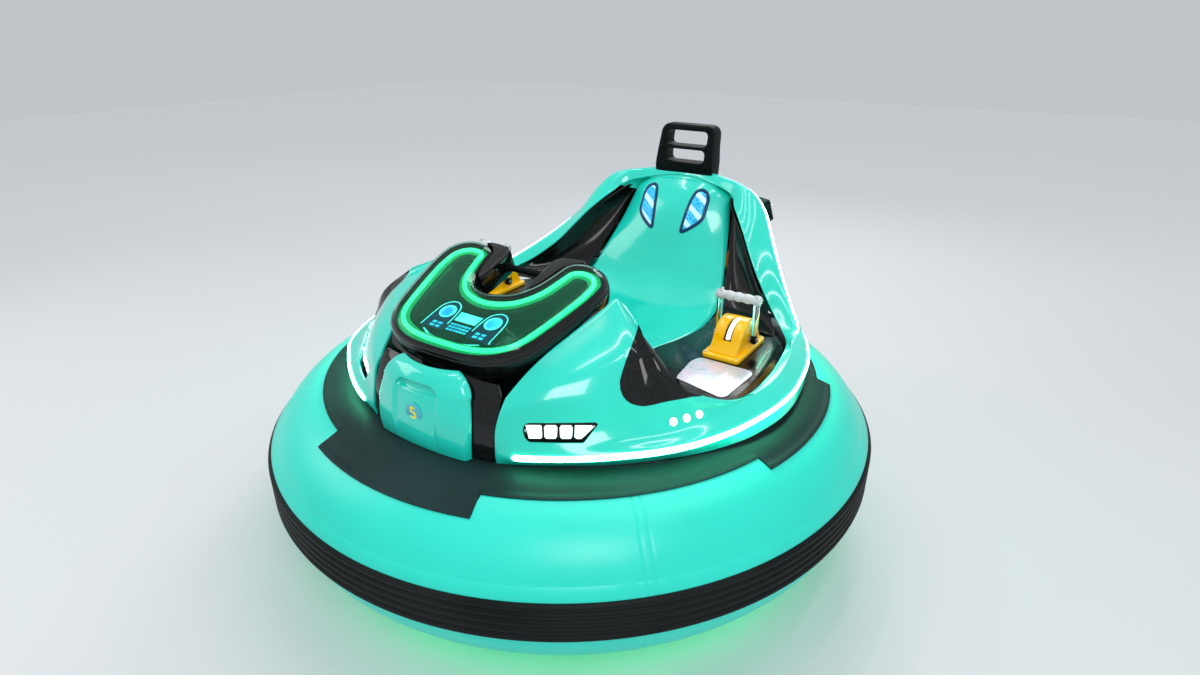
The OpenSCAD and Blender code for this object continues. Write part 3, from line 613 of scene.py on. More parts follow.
# Each list holds (angle, value): radius or height of the lower edge, the light line, the ledge.
BOTTOM_R = [(19, 672), (28, 666), (37, 667), (46, 675), (55, 689), (63.5, 709), (73.5, 730), (86, 744),
            (94, 743), (104, 745), (112.5, 749)]
BOTTOM_Z = [(19, 551), (46, 553), (63.5, 559), (86, 569), (112.5, 572)]
SILL_R = [(19, 676), (24, 684), (31, 688), (38, 692), (46, 701), (53, 713), (58, 716), (67, 718), (76, 722),
          (88, 735), (104.5, 741), (112.5, 744)]
SILL_Z = [(19, 578), (31, 587), (38, 590), (53, 598), (70, 596), (80, 600), (94.5, 609), (112.5, 613)]
LEDGE_R = [(19, 668), (26, 662), (38, 657), (46, 655), (55, 658), (62, 661), (67, 668), (76, 680), (88, 694),
           (112.5, 700)]
LEDGE_Z = [(19, 640), (62, 641), (76, 637), (112.5, 640)]
# angle, inner edge x y z, how far the crown bulges
COWL = [(19, 223, -593, 716, 8), (24, 231, -565, 738, 12), (30, 243, -520, 768, 18), (36, 258, -462, 797, 26),
        (41.5, 275, -398, 822, 32), (46, 293, -330, 848, 36), (49.5, 308, -280, 868, 38),
        (52.5, 319, -241, 882, 38), (55.5, 370, -268, 862, 34), (58.5, 422, -295, 834, 28),
        (61.5, 488, -300, 775, 18), (65, 553, -304, 715, 8),
        (69, 592, -262, 682, 5), (73.5, 630, -205, 655, 4), (78.5, 652, -150, 643, 3), (84, 663, -85, 640, 3),
        (89, 664, -10, 640, 3), (94.5, 661, 60, 640, 3), (104.5, 640, 213, 637, 3), (112.5, 609, 313, 622, 3)]
# angle, lower edge r z, light line r z, flank x y z, ridge x y z, inner edge x y z
ARM = [(120, 752, 573, 748, 614, 634, 386, 630, 620, 378, 640, 572, 372, 630),
       (128, 757, 573, 752, 615, 574, 480, 656, 562, 457, 685, 510, 435, 665),
       (137, 765, 573, 760, 615, 498, 574, 690, 480, 560, 761, 432, 500, 735),
       (146, 776, 574, 772, 615, 428, 672, 736, 409, 646, 843, 380, 540, 800),
       (155, 790, 574, 788, 616, 366, 752, 780, 352, 696, 933, 328, 585, 865),
       (164, 805, 575, 806, 617, 276, 812, 820, 285, 722, 989, 262, 650, 930),
       (172, 815, 575, 818, 617, 150, 838, 836, 184, 756, 1008, 200, 718, 974),
       (180, 820, 575, 823, 617, 0, 846, 842, 0, 790, 1022, 0, 742, 1010)]


HALF_LINE = Vector((0, 0, 9))


def cowl_row(angle, x, y, z, bulge):
    s = polar(by_angle(angle, SILL_R), angle, by_angle(angle, SILL_Z))
    m = polar(by_angle(angle, LEDGE_R), angle, by_angle(angle, LEDGE_Z))
    e = Vector((x, y, z))
    out = (polar(1, angle, 0) + Vector((0, 0, 1.2))).normalized()
    foot = polar(by_angle(angle, BOTTOM_R), angle, by_angle(angle, BOTTOM_Z))
    return [foot, s - HALF_LINE, s + HALF_LINE, m, (m + e) / 2 + out * bulge, e]


def arm_row(a, rb, zb, rs, zs, *xyz):
    s = polar(rs, a, zs)
    return [polar(rb, a, zb), s - HALF_LINE, s + HALF_LINE, Vector(xyz[0:3]), Vector(xyz[3:6]),
            Vector(xyz[6:9])]


half = [[p * MM for p in cowl_row(*c)] for c in COWL] + [[p * MM for p in arm_row(*c)] for c in ARM]
body_rows = half + [[Vector((-p.x, p.y, p.z)) for p in row] for row in half[-2::-1]]
CORNER, BACK = len(COWL) - 1, len(half) - 1
FAR = 2 * BACK - CORNER
print("stations", len(body_rows), "corner", CORNER, "back", BACK)

# %% [markdown]
# Each side shell is one mint moulding from nose to arm, with openings for vent, head lamp and
# three round lights. Gel coat is smooth, so the grid is dense. The openings could be drawn into
# the grid; they are cut with plain prisms instead, as a router cuts them in the real moulding.
# The right shell is the left one mirrored.

# %% Side shells with their openings
ROUND_ANGLES = (57.6, 61, 64.4)


def vent_prism(name):
    outline = [(-30, 12), (8, -12), (38, -37), (68, -62), (92, -79), (112, -91), (132, -95), (148, -93),
               (162, -86), (172, -76), (180, -62), (186, -46), (189, -20), (190, 4), (200, 110), (110, 110),
               (10, 80)]
    at = Matrix.Translation(Vector((422, -295, 834)) * MM) @ Matrix.Rotation(math.radians(-30.56), 4, "Z") \
        @ Matrix.Rotation(math.radians(45.4), 4, "Y")
    return slab(name, [(x * MM, y * MM) for x, y in outline], -0.06, 0.06, gel_coat, edge=0, place=at)


def pod_place():
    return Matrix.Translation(polar(0.650, 32.5, 0.638)) @ Matrix.Rotation(math.radians(32.5), 4, "Z") \
        @ Matrix.Rotation(math.radians(72), 4, "X")


POD = [(-88, 4), (-84, -9), (-78, -18), (-71, -22), (-60, -22), (57, -22), (62, -19), (68, -12), (91, 16),
       (94, 21), (90, 25), (84, 26), (-72, 26), (-80, 24), (-86, 17)]


def pod_prism(name, grow=1.0, low=-0.03, high=0.03, mat=gel_coat, edge=0):
    """A prism with the outline of the head lamp, set into the shell's skin."""
    outline = [(x * MM * grow, y * MM * grow) for x, y in POD]
    return slab(name, outline, low, high, mat, edge=edge, place=pod_place())


def round_light(name, angle, r, low, high, mat, edge=0):
    """A short bar through the skin at one of the three round lights."""
    turn = Matrix.Rotation(math.radians(angle), 4, "Z") @ Matrix.Rotation(math.radians(62), 4, "X")
    axis = turn @ Vector((0, 0, 1))
    at = polar(0.662, angle, 0.641)
    return pin(name, at + axis * low, at + axis * high, r, mat, edge)


def mirrored(ob, name):
    bm = bmesh.new()
    bm.from_mesh(ob.data)
    bmesh.ops.scale(bm, vec=(-1, 1, 1), verts=bm.verts)
    bmesh.ops.reverse_faces(bm, faces=bm.faces)
    twin = new_piece(name, bm, ob.data.materials[0], 30)
    for m in list(ob.data.materials)[1:]:
        twin.data.materials.append(m)
    twin.data.set_sharp_from_angle(angle=math.radians(40))
    return twin


shell_left = moulding("side_moulding_left", body_rows, (0, CORNER), (0, 5), (95, 40), gel_coat, edge=0.0014)
tools = [vent_prism("vent_tool"), pod_prism("pod_tool")]
tools += [round_light(f"light_tool_{k}", a, 0.0134, -0.03, 0.03, gel_coat) for k, a in enumerate(ROUND_ANGLES)]
cut(shell_left, *tools)
shell_right = mirrored(shell_left, "side_moulding_right")
stands_for(shell_left, "side_shell_left")
stands_for(shell_right, "side_shell_right")
print("shell faces", len(shell_left.data.polygons))

# %% [markdown]
# Behind the side shells the skin goes on as a low sill round the rear, two arms that rise to an
# arch over the seat back, and a black shell between them. Three separate forms would have to be
# fitted to each other; taken from the same stations by ranges of height, their edges meet.

# %% Sill round the rear, and the arms with the arch over the seat back
sill = moulding("rear_sill_moulding", body_rows, (CORNER, FAR), (0, 2), (80, 14), gel_coat)
stands_for(sill, "rear_sill")
arch = moulding("arm_arch_moulding", body_rows, (CORNER, FAR), (3.62, 5), (96, 14), gel_coat, edge=0.002)
stands_for(arch, "arm_arch")
back = moulding("back_moulding", body_rows, (CORNER, FAR), (2, 3.62), (80, 18), piano_black)
print("mouldings done")

# %% [markdown]
# The vent is a black piece set flush in its opening. It could be a separate model; it follows
# the same stations instead, a hair lower, and is cut by the same prism, so it fits its opening.

# %% Vents
vent_left = moulding("vent_left", body_rows, (5, 13), (1.7, 5), (48, 30), piano_black, lift=-0.0015, edge=0)
cut(vent_left, vent_prism("vent_trim"), how="INTERSECT")
vent_right = mirrored(vent_left, "vent_right")
stands_for(vent_left, "side_vents")
stands_for(vent_right, "side_vents")
print("vents", len(vent_left.data.polygons))

# %% [markdown]
# Light lines: a lit strip lies on the sill and another on each arm. They are thin half-round
# strips on the skin, at one height between two stations and rounded at the ends. A tube would
# stand off a curved skin; a strip that is worked out on the skin follows it everywhere.

# %% Light lines
LINE_END = 0.16


def light_line(name, u, v, wide, high, steps, mat):
    """A lit strip from station u[0] to u[1]; v and wide give its height and half width there."""
    def place(s, t):
        a = u[0] + (u[1] - u[0]) * s
        end = min(s, 1 - s) * (u[1] - u[0])
        full = math.sqrt(max(0.0, 1 - max(0.0, 1 - end / LINE_END) ** 2))
        b = v(a) + wide(a) * full * (t * 2 - 1)
        arc = math.sqrt(max(0.0, 1 - (t * 2 - 1) ** 2)) * full
        return on_skin(body_rows, a, b) + facing(body_rows, a, b) * (0.0002 + high * arc)
    return new_piece(name, grid_sheet(steps, 8, place), mat)


sill_line_left = light_line("sill_line_left", (0.75, CORNER + 2.2), lambda a: 1.58, lambda a: 0.42, 0.004, 150,
                            line_light)
arm_line_left = light_line("arm_line_left", (CORNER + 0.7, CORNER + 6.3), lambda a: 3.84, lambda a: 0.10,
                           0.004, 70, line_light)
for line, cad in ((sill_line_left, "sill_lights"), (arm_line_left, "arm_lights")):
    twin = mirrored(line, line.name.replace("left", "right"))
    stands_for(line, cad)
    stands_for(twin, cad)
print("light lines done")

# %% [markdown]
# Head lamp: a recess with a black bezel, four white cells, the walls between them and two small
# screws. The bezel sits behind the skin, the cells stand a little proud of it. Each cell is a
# plate with its own outline, because the two outer ones follow the slanted ends of the lamp.

# %% Head lamps
cell_rows = [(-80, -42), (-37, -5), (1, 32), (37, 82)]
CELL_WALLS = (-41.2, -3.8, 32.8)
SCREW_SPOTS = ((-84, 3), (84, 15))


def lamp_cell(name, x0, x1):
    """One white cell of the head lamp, from x0 to x1 across it."""
    low, high = -15, 18
    if x0 < -60:
        outline = [(x0 - 2, high), (x0 + 6, low), (x1 - 3, low), (x1, low + 4), (x1 - 1, high - 3),
                   (x1 - 4, high)]
    elif x1 > 60:
        outline = [(x0 + 1, high), (x0, low + 4), (x0 + 5, low), (x1 - 30, low), (x1 - 24, low + 4),
                   (x1, high - 5), (x1 - 3, high)]
    else:
        outline = [(x0 + 4, high), (x0, high - 5), (x0 + 1, low + 5), (x0 + 5, low), (x1 - 5, low),
                   (x1 - 1, low + 5), (x1, high - 5), (x1 - 4, high)]
    outline = [(x * MM, y * MM) for x, y in outline][::-1]
    return slab(name, outline, -0.0050, -0.0005, white_light, edge=0.0012, place=pod_place(), segments=2)


bezel = pod_prism("lamp_bezel", 1.04, -0.016, -0.0085, deck_black)
cells = [lamp_cell(f"cell_{k}", a, b) for k, (a, b) in enumerate(cell_rows)]
screws = []
for k, (x, y) in enumerate(SCREW_SPOTS):
    at = pod_place() @ Vector((x * MM, y * MM, -0.0085))
    out = (pod_place().to_3x3() @ Vector((0, 0, 1))).normalized()
    screws.append(pin(f"lamp_screw_{k}", at, at + out * 0.004, 0.0036, chrome, 0.001, 16))
ribs = []
for k, x in enumerate(CELL_WALLS):
    strip_outline = [(x * MM, -0.019), (x * MM + 0.0035, -0.019), (x * MM + 0.0035, 0.022), (x * MM, 0.022)]
    ribs.append(slab(f"cell_wall_{k}", strip_outline, -0.009, -0.002, deck_black, edge=0.0008,
                     place=pod_place(), segments=2))
lamp_left = weld(bezel, *cells, *screws, *ribs)
lamp_left.name = "head_lamp_left"
stands_for(lamp_left, "head_lamps")
stands_for(mirrored(lamp_left, "head_lamp_right"), "head_lamps")
print("head lamp faces", len(lamp_left.data.polygons))

# %% [markdown]
# Three round lights sit behind the head lamp on each side, each a white button in a mint ring.
# Short round bars with bevelled rims are enough at this size; they share the axis of the holes.

# %% Round side lights
rounds = []
for k, a in enumerate(ROUND_ANGLES):
    rounds.append(round_light(f"round_{k}", a, 0.0112, -0.010, 0.0015, white_light, 0.003))
    rounds.append(round_light(f"round_ring_{k}", a, 0.0132, -0.010, -0.0008, gel_coat, 0.0012))
lights_left = weld(*rounds)
lights_left.name = "round_lights_left"
stands_for(lights_left, "side_lamps")
stands_for(mirrored(lights_left, "round_lights_right"), "side_lamps")
print("round light faces", len(lights_left.data.polygons))

# %% [markdown]
# Rear: the black back fills the space between the arms and the sill. Two big amber lamps and the
# charge socket sit in it. A lamp is a lathe shape: a chromed ring, and a domed lens with rings.
# Spinning two profiles is quicker and rounder than modelling the rings one by one.

# %% Rear lamps
def on_back(x, z):
    """The point of the back shell nearest to x, z and its way out, found by trying a fine grid."""
    best = min(((on_skin(body_rows, CORNER + k * 0.05, 2 + j * 0.03), k, j) for k in range(0, 321)
                for j in range(0, 54)), key=lambda q: (q[0].x - x) ** 2 + (q[0].z - z) ** 2)
    return best[0], facing(body_rows, CORNER + best[1] * 0.05, 2 + best[2] * 0.03)


# radius and height along the lathe's axis, in metres
LAMP_RING = [(0.0505, -0.008), (0.0582, -0.008), (0.0582, 0.0035), (0.0570, 0.0052), (0.0545, 0.0058),
             (0.0515, 0.0045), (0.0505, 0.0020)]
LAMP_LENS = [(0.0, -0.008), (0.0503, -0.008), (0.0503, 0.0015), (0.046, 0.0045), (0.040, 0.0052),
             (0.037, 0.0040), (0.034, 0.0060), (0.026, 0.0082), (0.023, 0.0068), (0.019, 0.0092),
             (0.010, 0.0112), (0.0, 0.0118)]
for side in (1, -1):
    at, out = on_back(0.225 * side, 0.690)
    set_in = Matrix.Translation(at) @ out.to_track_quat("Z", "Y").to_matrix().to_4x4()
    hole = pin("lamp_hole", at - out * 0.05, at + out * 0.05, 0.0585, piano_black)
    cut(back, hole)
    ring = turned("lamp_ring", LAMP_RING, chrome, 72, set_in)
    lens = turned("lamp_lens", LAMP_LENS, lamp_amber, 72, set_in, closed=False)
    rear_lamp = weld(ring, lens)
    rear_lamp.name = "rear_lamp_" + ("left" if side > 0 else "right")
    stands_for(rear_lamp, "rear_lamps")
cut(back, pin("socket_hole", (0, 0.72, 0.700), (0, 0.92, 0.700), 0.0221, piano_black))
print("rear lamps set at height 0.690")

# %% [markdown]
# In front of a slanting line the back moulding is mint, like the sill, and behind it black. Two
# mouldings with a seam could do this; one moulding whose faces are split along the line and
# given two materials keeps the skin whole and leaves no notch at the sill's corner.

# %% Colour border of the back shell
border, slant = Vector((0, 0.47, 0.62)), Vector((0, 1, 0.25)).normalized()
back.data.materials.append(gel_coat)
edge_bm = bmesh.new()
edge_bm.from_mesh(back.data)
bmesh.ops.bisect_plane(edge_bm, geom=edge_bm.verts[:] + edge_bm.edges[:] + edge_bm.faces[:], plane_co=border,
                       plane_no=slant)
for face in edge_bm.faces:
    face.material_index = 1 if (face.calc_center_median() - border).dot(slant) < 0 else 0
edge_bm.to_mesh(back.data)
edge_bm.free()
stands_for(back, "back_shell")
print("rear done", len(back.data.polygons))

# %% [markdown]
# Front: a glossy black bulkhead closes the nose between the two shells, with a mint panel on it.
# Both could be extruded from an outline; bent through a few levels from top to foot, they bulge
# forward as the real mouldings do.

# %% Levels of the front
# Each level holds half its width, y at its side, y in its middle, and z.
FRAME = [(196, -586, -604, 742), (214, -597, -640, 714), (215, -624, -664, 660), (213, -636, -672, 600),
         (211, -638, -668, 551)]
PANEL = [(92, -630, -662, 764), (134, -642, -688, 732), (152, -656, -702, 690), (160, -668, -708, 640),
         (160, -674, -704, 590), (156, -672, -690, 552)]


def level(row, w):
    """Point at w (-1 to 1) across a level of half width, side y, middle y, z."""
    return Vector((w * row[0], row[1] + (row[2] - row[1]) * (1 - w * w), row[3])) * MM


def level_rows(levels):
    return [[level(r, w) for w in (-1, -0.85, -0.5, 0, 0.5, 0.85, 1)] for r in levels]


print("levels", len(FRAME), "and", len(PANEL))

# %% [markdown]
# Some small parts need no new skin: the solids' own struts and brackets will do once their edges
# are rounded. One solid node holds several loose parts, so the wanted ones are found by walking
# from corner to corner along the edges, and kept or dropped by their size.

# %% Bulkhead and struts
def islands(name, cad, keep, mat, edge=0.002):
    """Copies the loose pieces of a CAD node that pass a test of their size."""
    bm = bmesh.new()
    bm.from_mesh(node[cad].data)
    bmesh.ops.transform(bm, matrix=node[cad].matrix_world, verts=bm.verts)
    bmesh.ops.remove_doubles(bm, verts=bm.verts, dist=1e-5)
    seen, drop = set(), []
    for v in bm.verts:
        if v in seen:
            continue
        group, todo = [], [v]
        seen.add(v)
        while todo:
            w = todo.pop()
            group.append(w)
            for e in w.link_edges:
                o = e.other_vert(w)
                if o not in seen:
                    seen.add(o)
                    todo.append(o)
        size = [max(g.co[k] for g in group) - min(g.co[k] for g in group) for k in range(3)]
        if not keep(size):
            drop += group
    bmesh.ops.delete(bm, geom=drop, context="VERTS")
    bmesh.ops.dissolve_limit(bm, angle_limit=0.01, verts=bm.verts, edges=bm.edges)
    if edge:
        sharp = [e for e in bm.edges if len(e.link_faces) == 2 and e.calc_face_angle() > 0.8]
        bmesh.ops.bevel(bm, geom=sharp, offset=edge, segments=2, affect="EDGES", profile=0.5, material=-1)
    return new_piece(name, bm, mat, 40)


bulkhead = moulding("nose_bulkhead", level_rows(FRAME), (0, 4), (0, 6), (40, 48), piano_black, edge=0.0015)
feet = islands("dash_struts", "front_frame", lambda s: max(s) < 0.38 and s[0] < 0.06, satin_black)
stands_for(bulkhead, "front_frame")
stands_for(feet, "front_frame")
print("bulkhead faces", len(bulkhead.data.polygons))

# %% [markdown]
# The mint panel is a shallow tray with round top corners, a rim turned back, and an arched recess
# with a finger pocket at its top. It could be sculpted; here each corner of a dense grid is
# pushed back by how far it lies inside the arch, which keeps every transition soft and even.

# %% Front tray
ROUND_FROM = 700


def panel_place(s, t):
    """The tray: round top corners, turned-back rim, an arched recess with a finger pocket at its top."""
    w, k = t * 2 - 1, s ** 1.4 * 5
    i = min(int(k), 4)
    four = [Vector(PANEL[max(0, min(j, 5))]) for j in (i - 1, i, i + 1, i + 2)]
    half_wide, y_side, y_middle, z = bent(*four, k - i)
    if z > ROUND_FROM:
        full = 92 + 62 * math.sqrt(max(0.0, 1 - ((z - ROUND_FROM) / 64.2) ** 2))
        mix = 0.55 * min(1.0, (z - ROUND_FROM) / 14)
        half_wide = half_wide * (1 - mix) + full * mix
    p = Vector((w * half_wide, y_side + (y_middle - y_side) * 0.76 * (1 - w * w), z)) * MM
    # the rim turns back over the last part of the width and over the top
    rim, top = max(0.0, (abs(w) - 0.91) / 0.09), max(0.0, (z - 752) / 12)
    turn = min(1.0, max(rim, top))
    p.y += 0.016 * (1 - math.sqrt(max(0.0, 1 - turn * turn)))
    # how far inside the arch the corner lies: the recess first, the pocket at its head after it
    x = abs(p.x) * 1000
    edge = 78 - x if z < 694 else 40 - math.hypot(max(0.0, x - 38), z - 694) if x > 38 else 734 - z
    inside = max(0.0, min(1.0, edge / 11))
    inside = inside * inside * (3 - 2 * inside) * max(0.0, min(1.0, (z - 560) / 90))
    pocket = max(0.0, min(1.0, (z - 702) / 7)) * max(0.0, min(1.0, edge / 8))
    p.y += 0.009 * inside + 0.010 * pocket * pocket * (3 - 2 * pocket)
    return p


panel = wall(new_piece("front_tray", grid_sheet(96, 100, panel_place), gel_coat), 0.005, 0.001)
stands_for(panel, "front_panel")
print("tray faces", len(panel.data.polygons))

# %% [markdown]
# The number plate is a blue disc with a yellow 5. A picture on the disc could carry the figure; a
# text curve that is made into a mesh gives it real edges and needs no image.

# %% Number disc
DISC_Z = 0.650
near = min((panel_place(k / 400, 0.5) for k in range(400)), key=lambda q: abs(q.z - DISC_Z))
disc_at = Matrix.Translation((0.0, near.y - 0.0008, DISC_Z)) @ Matrix.Rotation(math.radians(93), 4, "X")
disc_mat = finish("disc_blue", (0.08, 0.50, 0.62), (0.12, 0.58, 0.68), 0.3, bump=0.1, grain=200)
# the printed 5 is no lamp: its faint light of its own is a painted glow
number_mat = finish("number_yellow", (0.95, 0.74, 0.01), (1.0, 0.82, 0.03), 0.4, lit=0.15)
DISC = [(0.0, -0.004), (0.027, -0.004), (0.027, 0.0006), (0.0258, 0.0012), (0.0, 0.0012)]
disc = turned("number_disc", DISC, disc_mat, 72, disc_at, closed=False)
digit = bpy.data.curves.new("number", "FONT")
digit.body = "5"
digit.size = 0.050
digit.align_x, digit.align_y = "CENTER", "CENTER"
digit.extrude = 0.0008
number = bpy.data.objects.new("number_five", digit)
bpy.context.collection.objects.link(number)
bpy.context.view_layer.update()
digit_mesh = bpy.data.meshes.new_from_object(number.evaluated_get(bpy.context.evaluated_depsgraph_get()))
digit_mesh.transform(disc_at @ Matrix.Translation((0, 0, 0.0018)))
bpy.data.objects.remove(number)
number = bpy.data.objects.new("number_five", digit_mesh)
bpy.context.collection.objects.link(number)
digit_mesh.materials.clear()
digit_mesh.materials.append(number_mat)
stands_for(disc)
stands_for(number)
print("number faces", len(digit_mesh.polygons))

# %% [markdown]
# Dash: a U-shaped black hood with a clear dome over a dark plate, a neon loop and the lit
# instruments. They all share one outline, which is drawn once for one half and mirrored. Set in
# by small steps, it gives every ring of hood and dome, so that all the skins follow the same U.

# %% Outline of the dash
HALF = [(0, 0), (80, 3), (150, 18), (205, 50), (240, 98), (262, 170), (280, 250), (292, 320), (290, 385),
        (262, 430), (215, 452), (165, 448), (130, 420), (116, 370), (100, 315), (70, 275), (35, 258), (0, 252)]
loop = [Vector((x, y, 0)) for x, y in HALF] + [Vector((-x, y, 0)) for x, y in HALF[-2:0:-1]]
loop = smooth_row(loop, 5, closed=True)
dash_at = Matrix.Translation((0, -0.600, 0.760)) @ Matrix.Rotation(math.radians(18), 4, "X")


def set_in_loop(d, z):
    """The outline moved inwards by d and up to z, in metres on the dash plane."""
    out, n = [], len(loop)
    for i, p in enumerate(loop):
        t = (loop[(i + 1) % n] - loop[i - 1]).normalized()
        out.append(Vector((p.x - t.y * d, p.y + t.x * d, z)) * MM)
    return out


print("outline points", len(loop))

# %% [markdown]
# The hood is a stack of such rings, from its inner edge down, under and up to the dome's seat.
# Edges could be extruded and scaled by hand; bridging ring to ring keeps each step exact. The
# shoulders of the two horns are rounded plates, cut off level with the hood's rim.

# %% Hood
def ring_stack(name, rings, mat, place, smooth=35):
    """Bridges each ring to the next and fills the two ends."""
    bm = bmesh.new()
    edges = []
    for ring in rings:
        vs = [bm.verts.new(p) for p in ring]
        edges.append([bm.edges.new((vs[i], vs[(i + 1) % len(vs)])) for i in range(len(vs))])
    for a, b in zip(edges, edges[1:]):
        bmesh.ops.bridge_loops(bm, edges=a + b)
    bmesh.ops.holes_fill(bm, edges=[e for e in bm.edges if e.is_boundary], sides=0)
    bmesh.ops.recalc_face_normals(bm, faces=bm.faces[:])
    bmesh.ops.transform(bm, matrix=place, verts=bm.verts)
    return new_piece(name, bm, mat, smooth)


HOOD_RINGS = ((24, 9), (24, -39), (22, -40), (17, -40), (14, -38), (9, -32), (4.5, -24), (1.6, -12), (0.4, 0),
              (0, 12), (1, 18), (4, 21.5), (8, 22))
hood = ring_stack("dash_shroud", [set_in_loop(*k) for k in HOOD_RINGS], piano_black, dash_at)
SHOULDER = [(84, 300), (79, 340), (78, 420), (84, 444), (98, 456), (140, 462), (170, 462), (200, 440),
            (160, 390), (130, 330), (110, 296)]
shoulders = []
for s in (1, -1):
    outline = [(s * x * MM, y * MM) for x, y in SHOULDER][::s]
    shoulder = slab("horn_shoulder", outline, -0.030, 0.040, piano_black, edge=0.006, place=dash_at, segments=4)
    above = ring_stack("above", [set_in_loop(-0.6, 22), set_in_loop(-0.6, 70)], piano_black, dash_at)
    shoulders.append(cut(shoulder, above))
hood = weld(hood, *shoulders)
stands_for(hood, "dash_hood")
print("hood faces", len(hood.data.polygons))

# %% [markdown]
# The dome is a blown shell of clear acrylic. Solidify could give it a wall, but light bends truly
# only between two clean skins, so the inner form is cut out of the outer one. Up to the height
# of the lit loop its wall is black, as the near side shows.

# %% Clear dome
BLACK_BELOW = 0.0405
DOME_RINGS = ((1.2, 22.3), (1.6, 27), (3.4, 32), (6.5, 36.5), (11, 42), (16, 47), (21, 51.5), (27, 55.5),
              (34, 57.6), (37, 57.9))
INNER_RINGS = ((4.4, 20.0), (4.8, 26), (6.4, 30.5), (9.5, 35), (13.5, 39.5), (18.5, 44), (23.5, 48.2),
               (28.5, 51.8), (34, 53.6), (37, 53.9))
dome = ring_stack("dash_dome", [set_in_loop(*k) for k in DOME_RINGS], clear_dome, dash_at, smooth=50)
inner = ring_stack("dash_dome_inner", [set_in_loop(*k) for k in INNER_RINGS], clear_dome, dash_at, smooth=50)
cut(dome, inner)
dome.data.materials.append(piano_black)
for face in dome.data.polygons:
    if (dash_at.inverted() @ face.center).z < BLACK_BELOW:
        face.material_index = 1
stands_for(dome, "dash_lens")
print("dome faces", len(dome.data.polygons))

# %% [markdown]
# Under the dome lies a dark plate that glows faintly green. Three rings are enough for a plate
# with a rounded rim. Its finish is set here, because no other part has it.

# %% Instrument plate
plate_glow = finish("plate_glow", (0.0, 0.045, 0.028), (0.0, 0.065, 0.040), 0.10, ior=1.25, lit=0.35)
plate = ring_stack("dash_plate", [set_in_loop(*k) for k in ((7, 22.1), (6.2, 23.6), (8, 24.4))], plate_glow,
                   dash_at)
stands_for(plate, "dash_display")
print("plate faces", len(plate.data.polygons))

# %% [markdown]
# A lit green tube runs round under the dome, in a low bed that glows with it. The tube is a hose
# along the outline set in by 39 mm. The bed is one closed grid: six rings, joined round, so
# that its skin has no gap and its rims are softened.

# %% Neon loop under the dome
dash_up = dash_at.to_3x3() @ Vector((0, 0, 1))
core = hose("neon_core", [dash_at @ Vector((p.x, p.y, 0.031)) for p in set_in_loop(39, 0)], 0.0062,
            green_light, closed=True, around=14, up=dash_up)
bed_rings = [set_in_loop(*k) for k in ((22, 24.6), (22, 26.6), (24, 27.4), (54, 27.4), (56, 26.6), (56, 24.6))]
bed_bm = grid_sheet(len(loop), 6, lambda s, t: bed_rings[round(t * 6) % 6][round(s * len(loop)) % len(loop)])
bmesh.ops.remove_doubles(bed_bm, verts=bed_bm.verts, dist=1e-6)
bmesh.ops.recalc_face_normals(bed_bm, faces=bed_bm.faces[:])
bmesh.ops.transform(bed_bm, matrix=dash_at, verts=bed_bm.verts)
bed_green = finish("neon_bed_green", (0.0, 0.26, 0.11), (0.0, 0.34, 0.15), 0.35, bump=0.1, grain=120, lit=0.80)
bed = new_piece("neon_bed", bed_bm, bed_green)
stands_for(core, "dash_light")
stands_for(bed, "dash_light")
print("neon faces", len(core.data.polygons) + len(bed.data.polygons))

# %% [markdown]
# Instruments: two dials under arches, a middle screen with rows of keys, and a curved line below.
# A picture could be laid on the plate; they are flat lit shapes instead, like printed film over
# lamps, so that they stay sharp from near and need no image.

# %% Flat lit shapes
def flat(name, outline, mat, low=0.0246, high=0.0256, edge=0.0003):
    """A thin plate on the dash, its outline in millimetres."""
    return slab(name, [(x * MM, y * MM) for x, y in outline], low, high, mat, edge=edge, place=dash_at,
                segments=1)


def oblong(x, y, wide, high):
    """The outline of a rectangle round x, y, given by half its width and height."""
    return [(x - wide, y - high), (x + wide, y - high), (x + wide, y + high), (x - wide, y + high)]


def dot(name, x, y, r, mat, low, high, around=40):
    ring = [k * math.tau / around for k in range(around)]
    return flat(name, [(x + r * math.cos(a), y + r * math.sin(a)) for a in ring], mat, low, high)


def line_on(name, pts, wide, mat):
    """A flattened lit line through the points, wide in millimetres."""
    bends = smooth_row([Vector((x, y, 0)) for x, y in pts], 6)
    return hose(name, [dash_at @ Vector((p.x * MM, p.y * MM, 0.0252)) for p in bends], wide * MM / 2, mat,
                around=6, flat=0.4, up=dash_up)


print("flat shapes ready")

# %% [markdown]
# The film carries a dial, an arch and four keys on each side, and between them a screen with rows
# of keys. Each could be placed by hand; loops set the marks and keys, because they repeat at
# even steps, and the sign s mirrors one side to the other.

# %% Layout of the instruments
shows = []
back_film = finish("film_blue", (0.0, 0.035, 0.10), (0.0, 0.05, 0.14), 0.3, bump=0.1, grain=120, lit=0.30)
for s in (-1, 1):
    film = [(s * 40, 82), (s * 118, 82), (s * 122, 150), (s * 112, 182), (s * 92, 196), (s * 70, 196),
            (s * 50, 182), (s * 40, 160)]
    shows.append(flat("film", film if s > 0 else film[::-1], back_film, 0.0240, 0.0246))
    arch_line = [(s * 44, 108), (s * 46, 150), (s * 54, 178), (s * 74, 192), (s * 94, 190), (s * 110, 176),
                 (s * 117, 150), (s * 120, 84)]
    shows.append(line_on("arch", arch_line, 3.2, cyan_light))
    shows.append(dot("dial", s * 80, 152, 25, cyan_light, 0.0246, 0.0258))
    shows.append(dot("dial_face", s * 80, 152, 19, blue_light, 0.0258, 0.0262))
    for k in range(9):
        a = math.radians(200 - k * 27.5)
        at = (s * 80 + 15.5 * math.cos(a), 152 + 15.5 * math.sin(a))
        shows.append(dot("mark", *at, 1.3, cyan_light, 0.0262, 0.0264))
    for i in range(2):
        for j in range(2):
            shows.append(flat("key", oblong(s * (66 + i * 20), 92 + j * 13, 7, 4), blue_light))
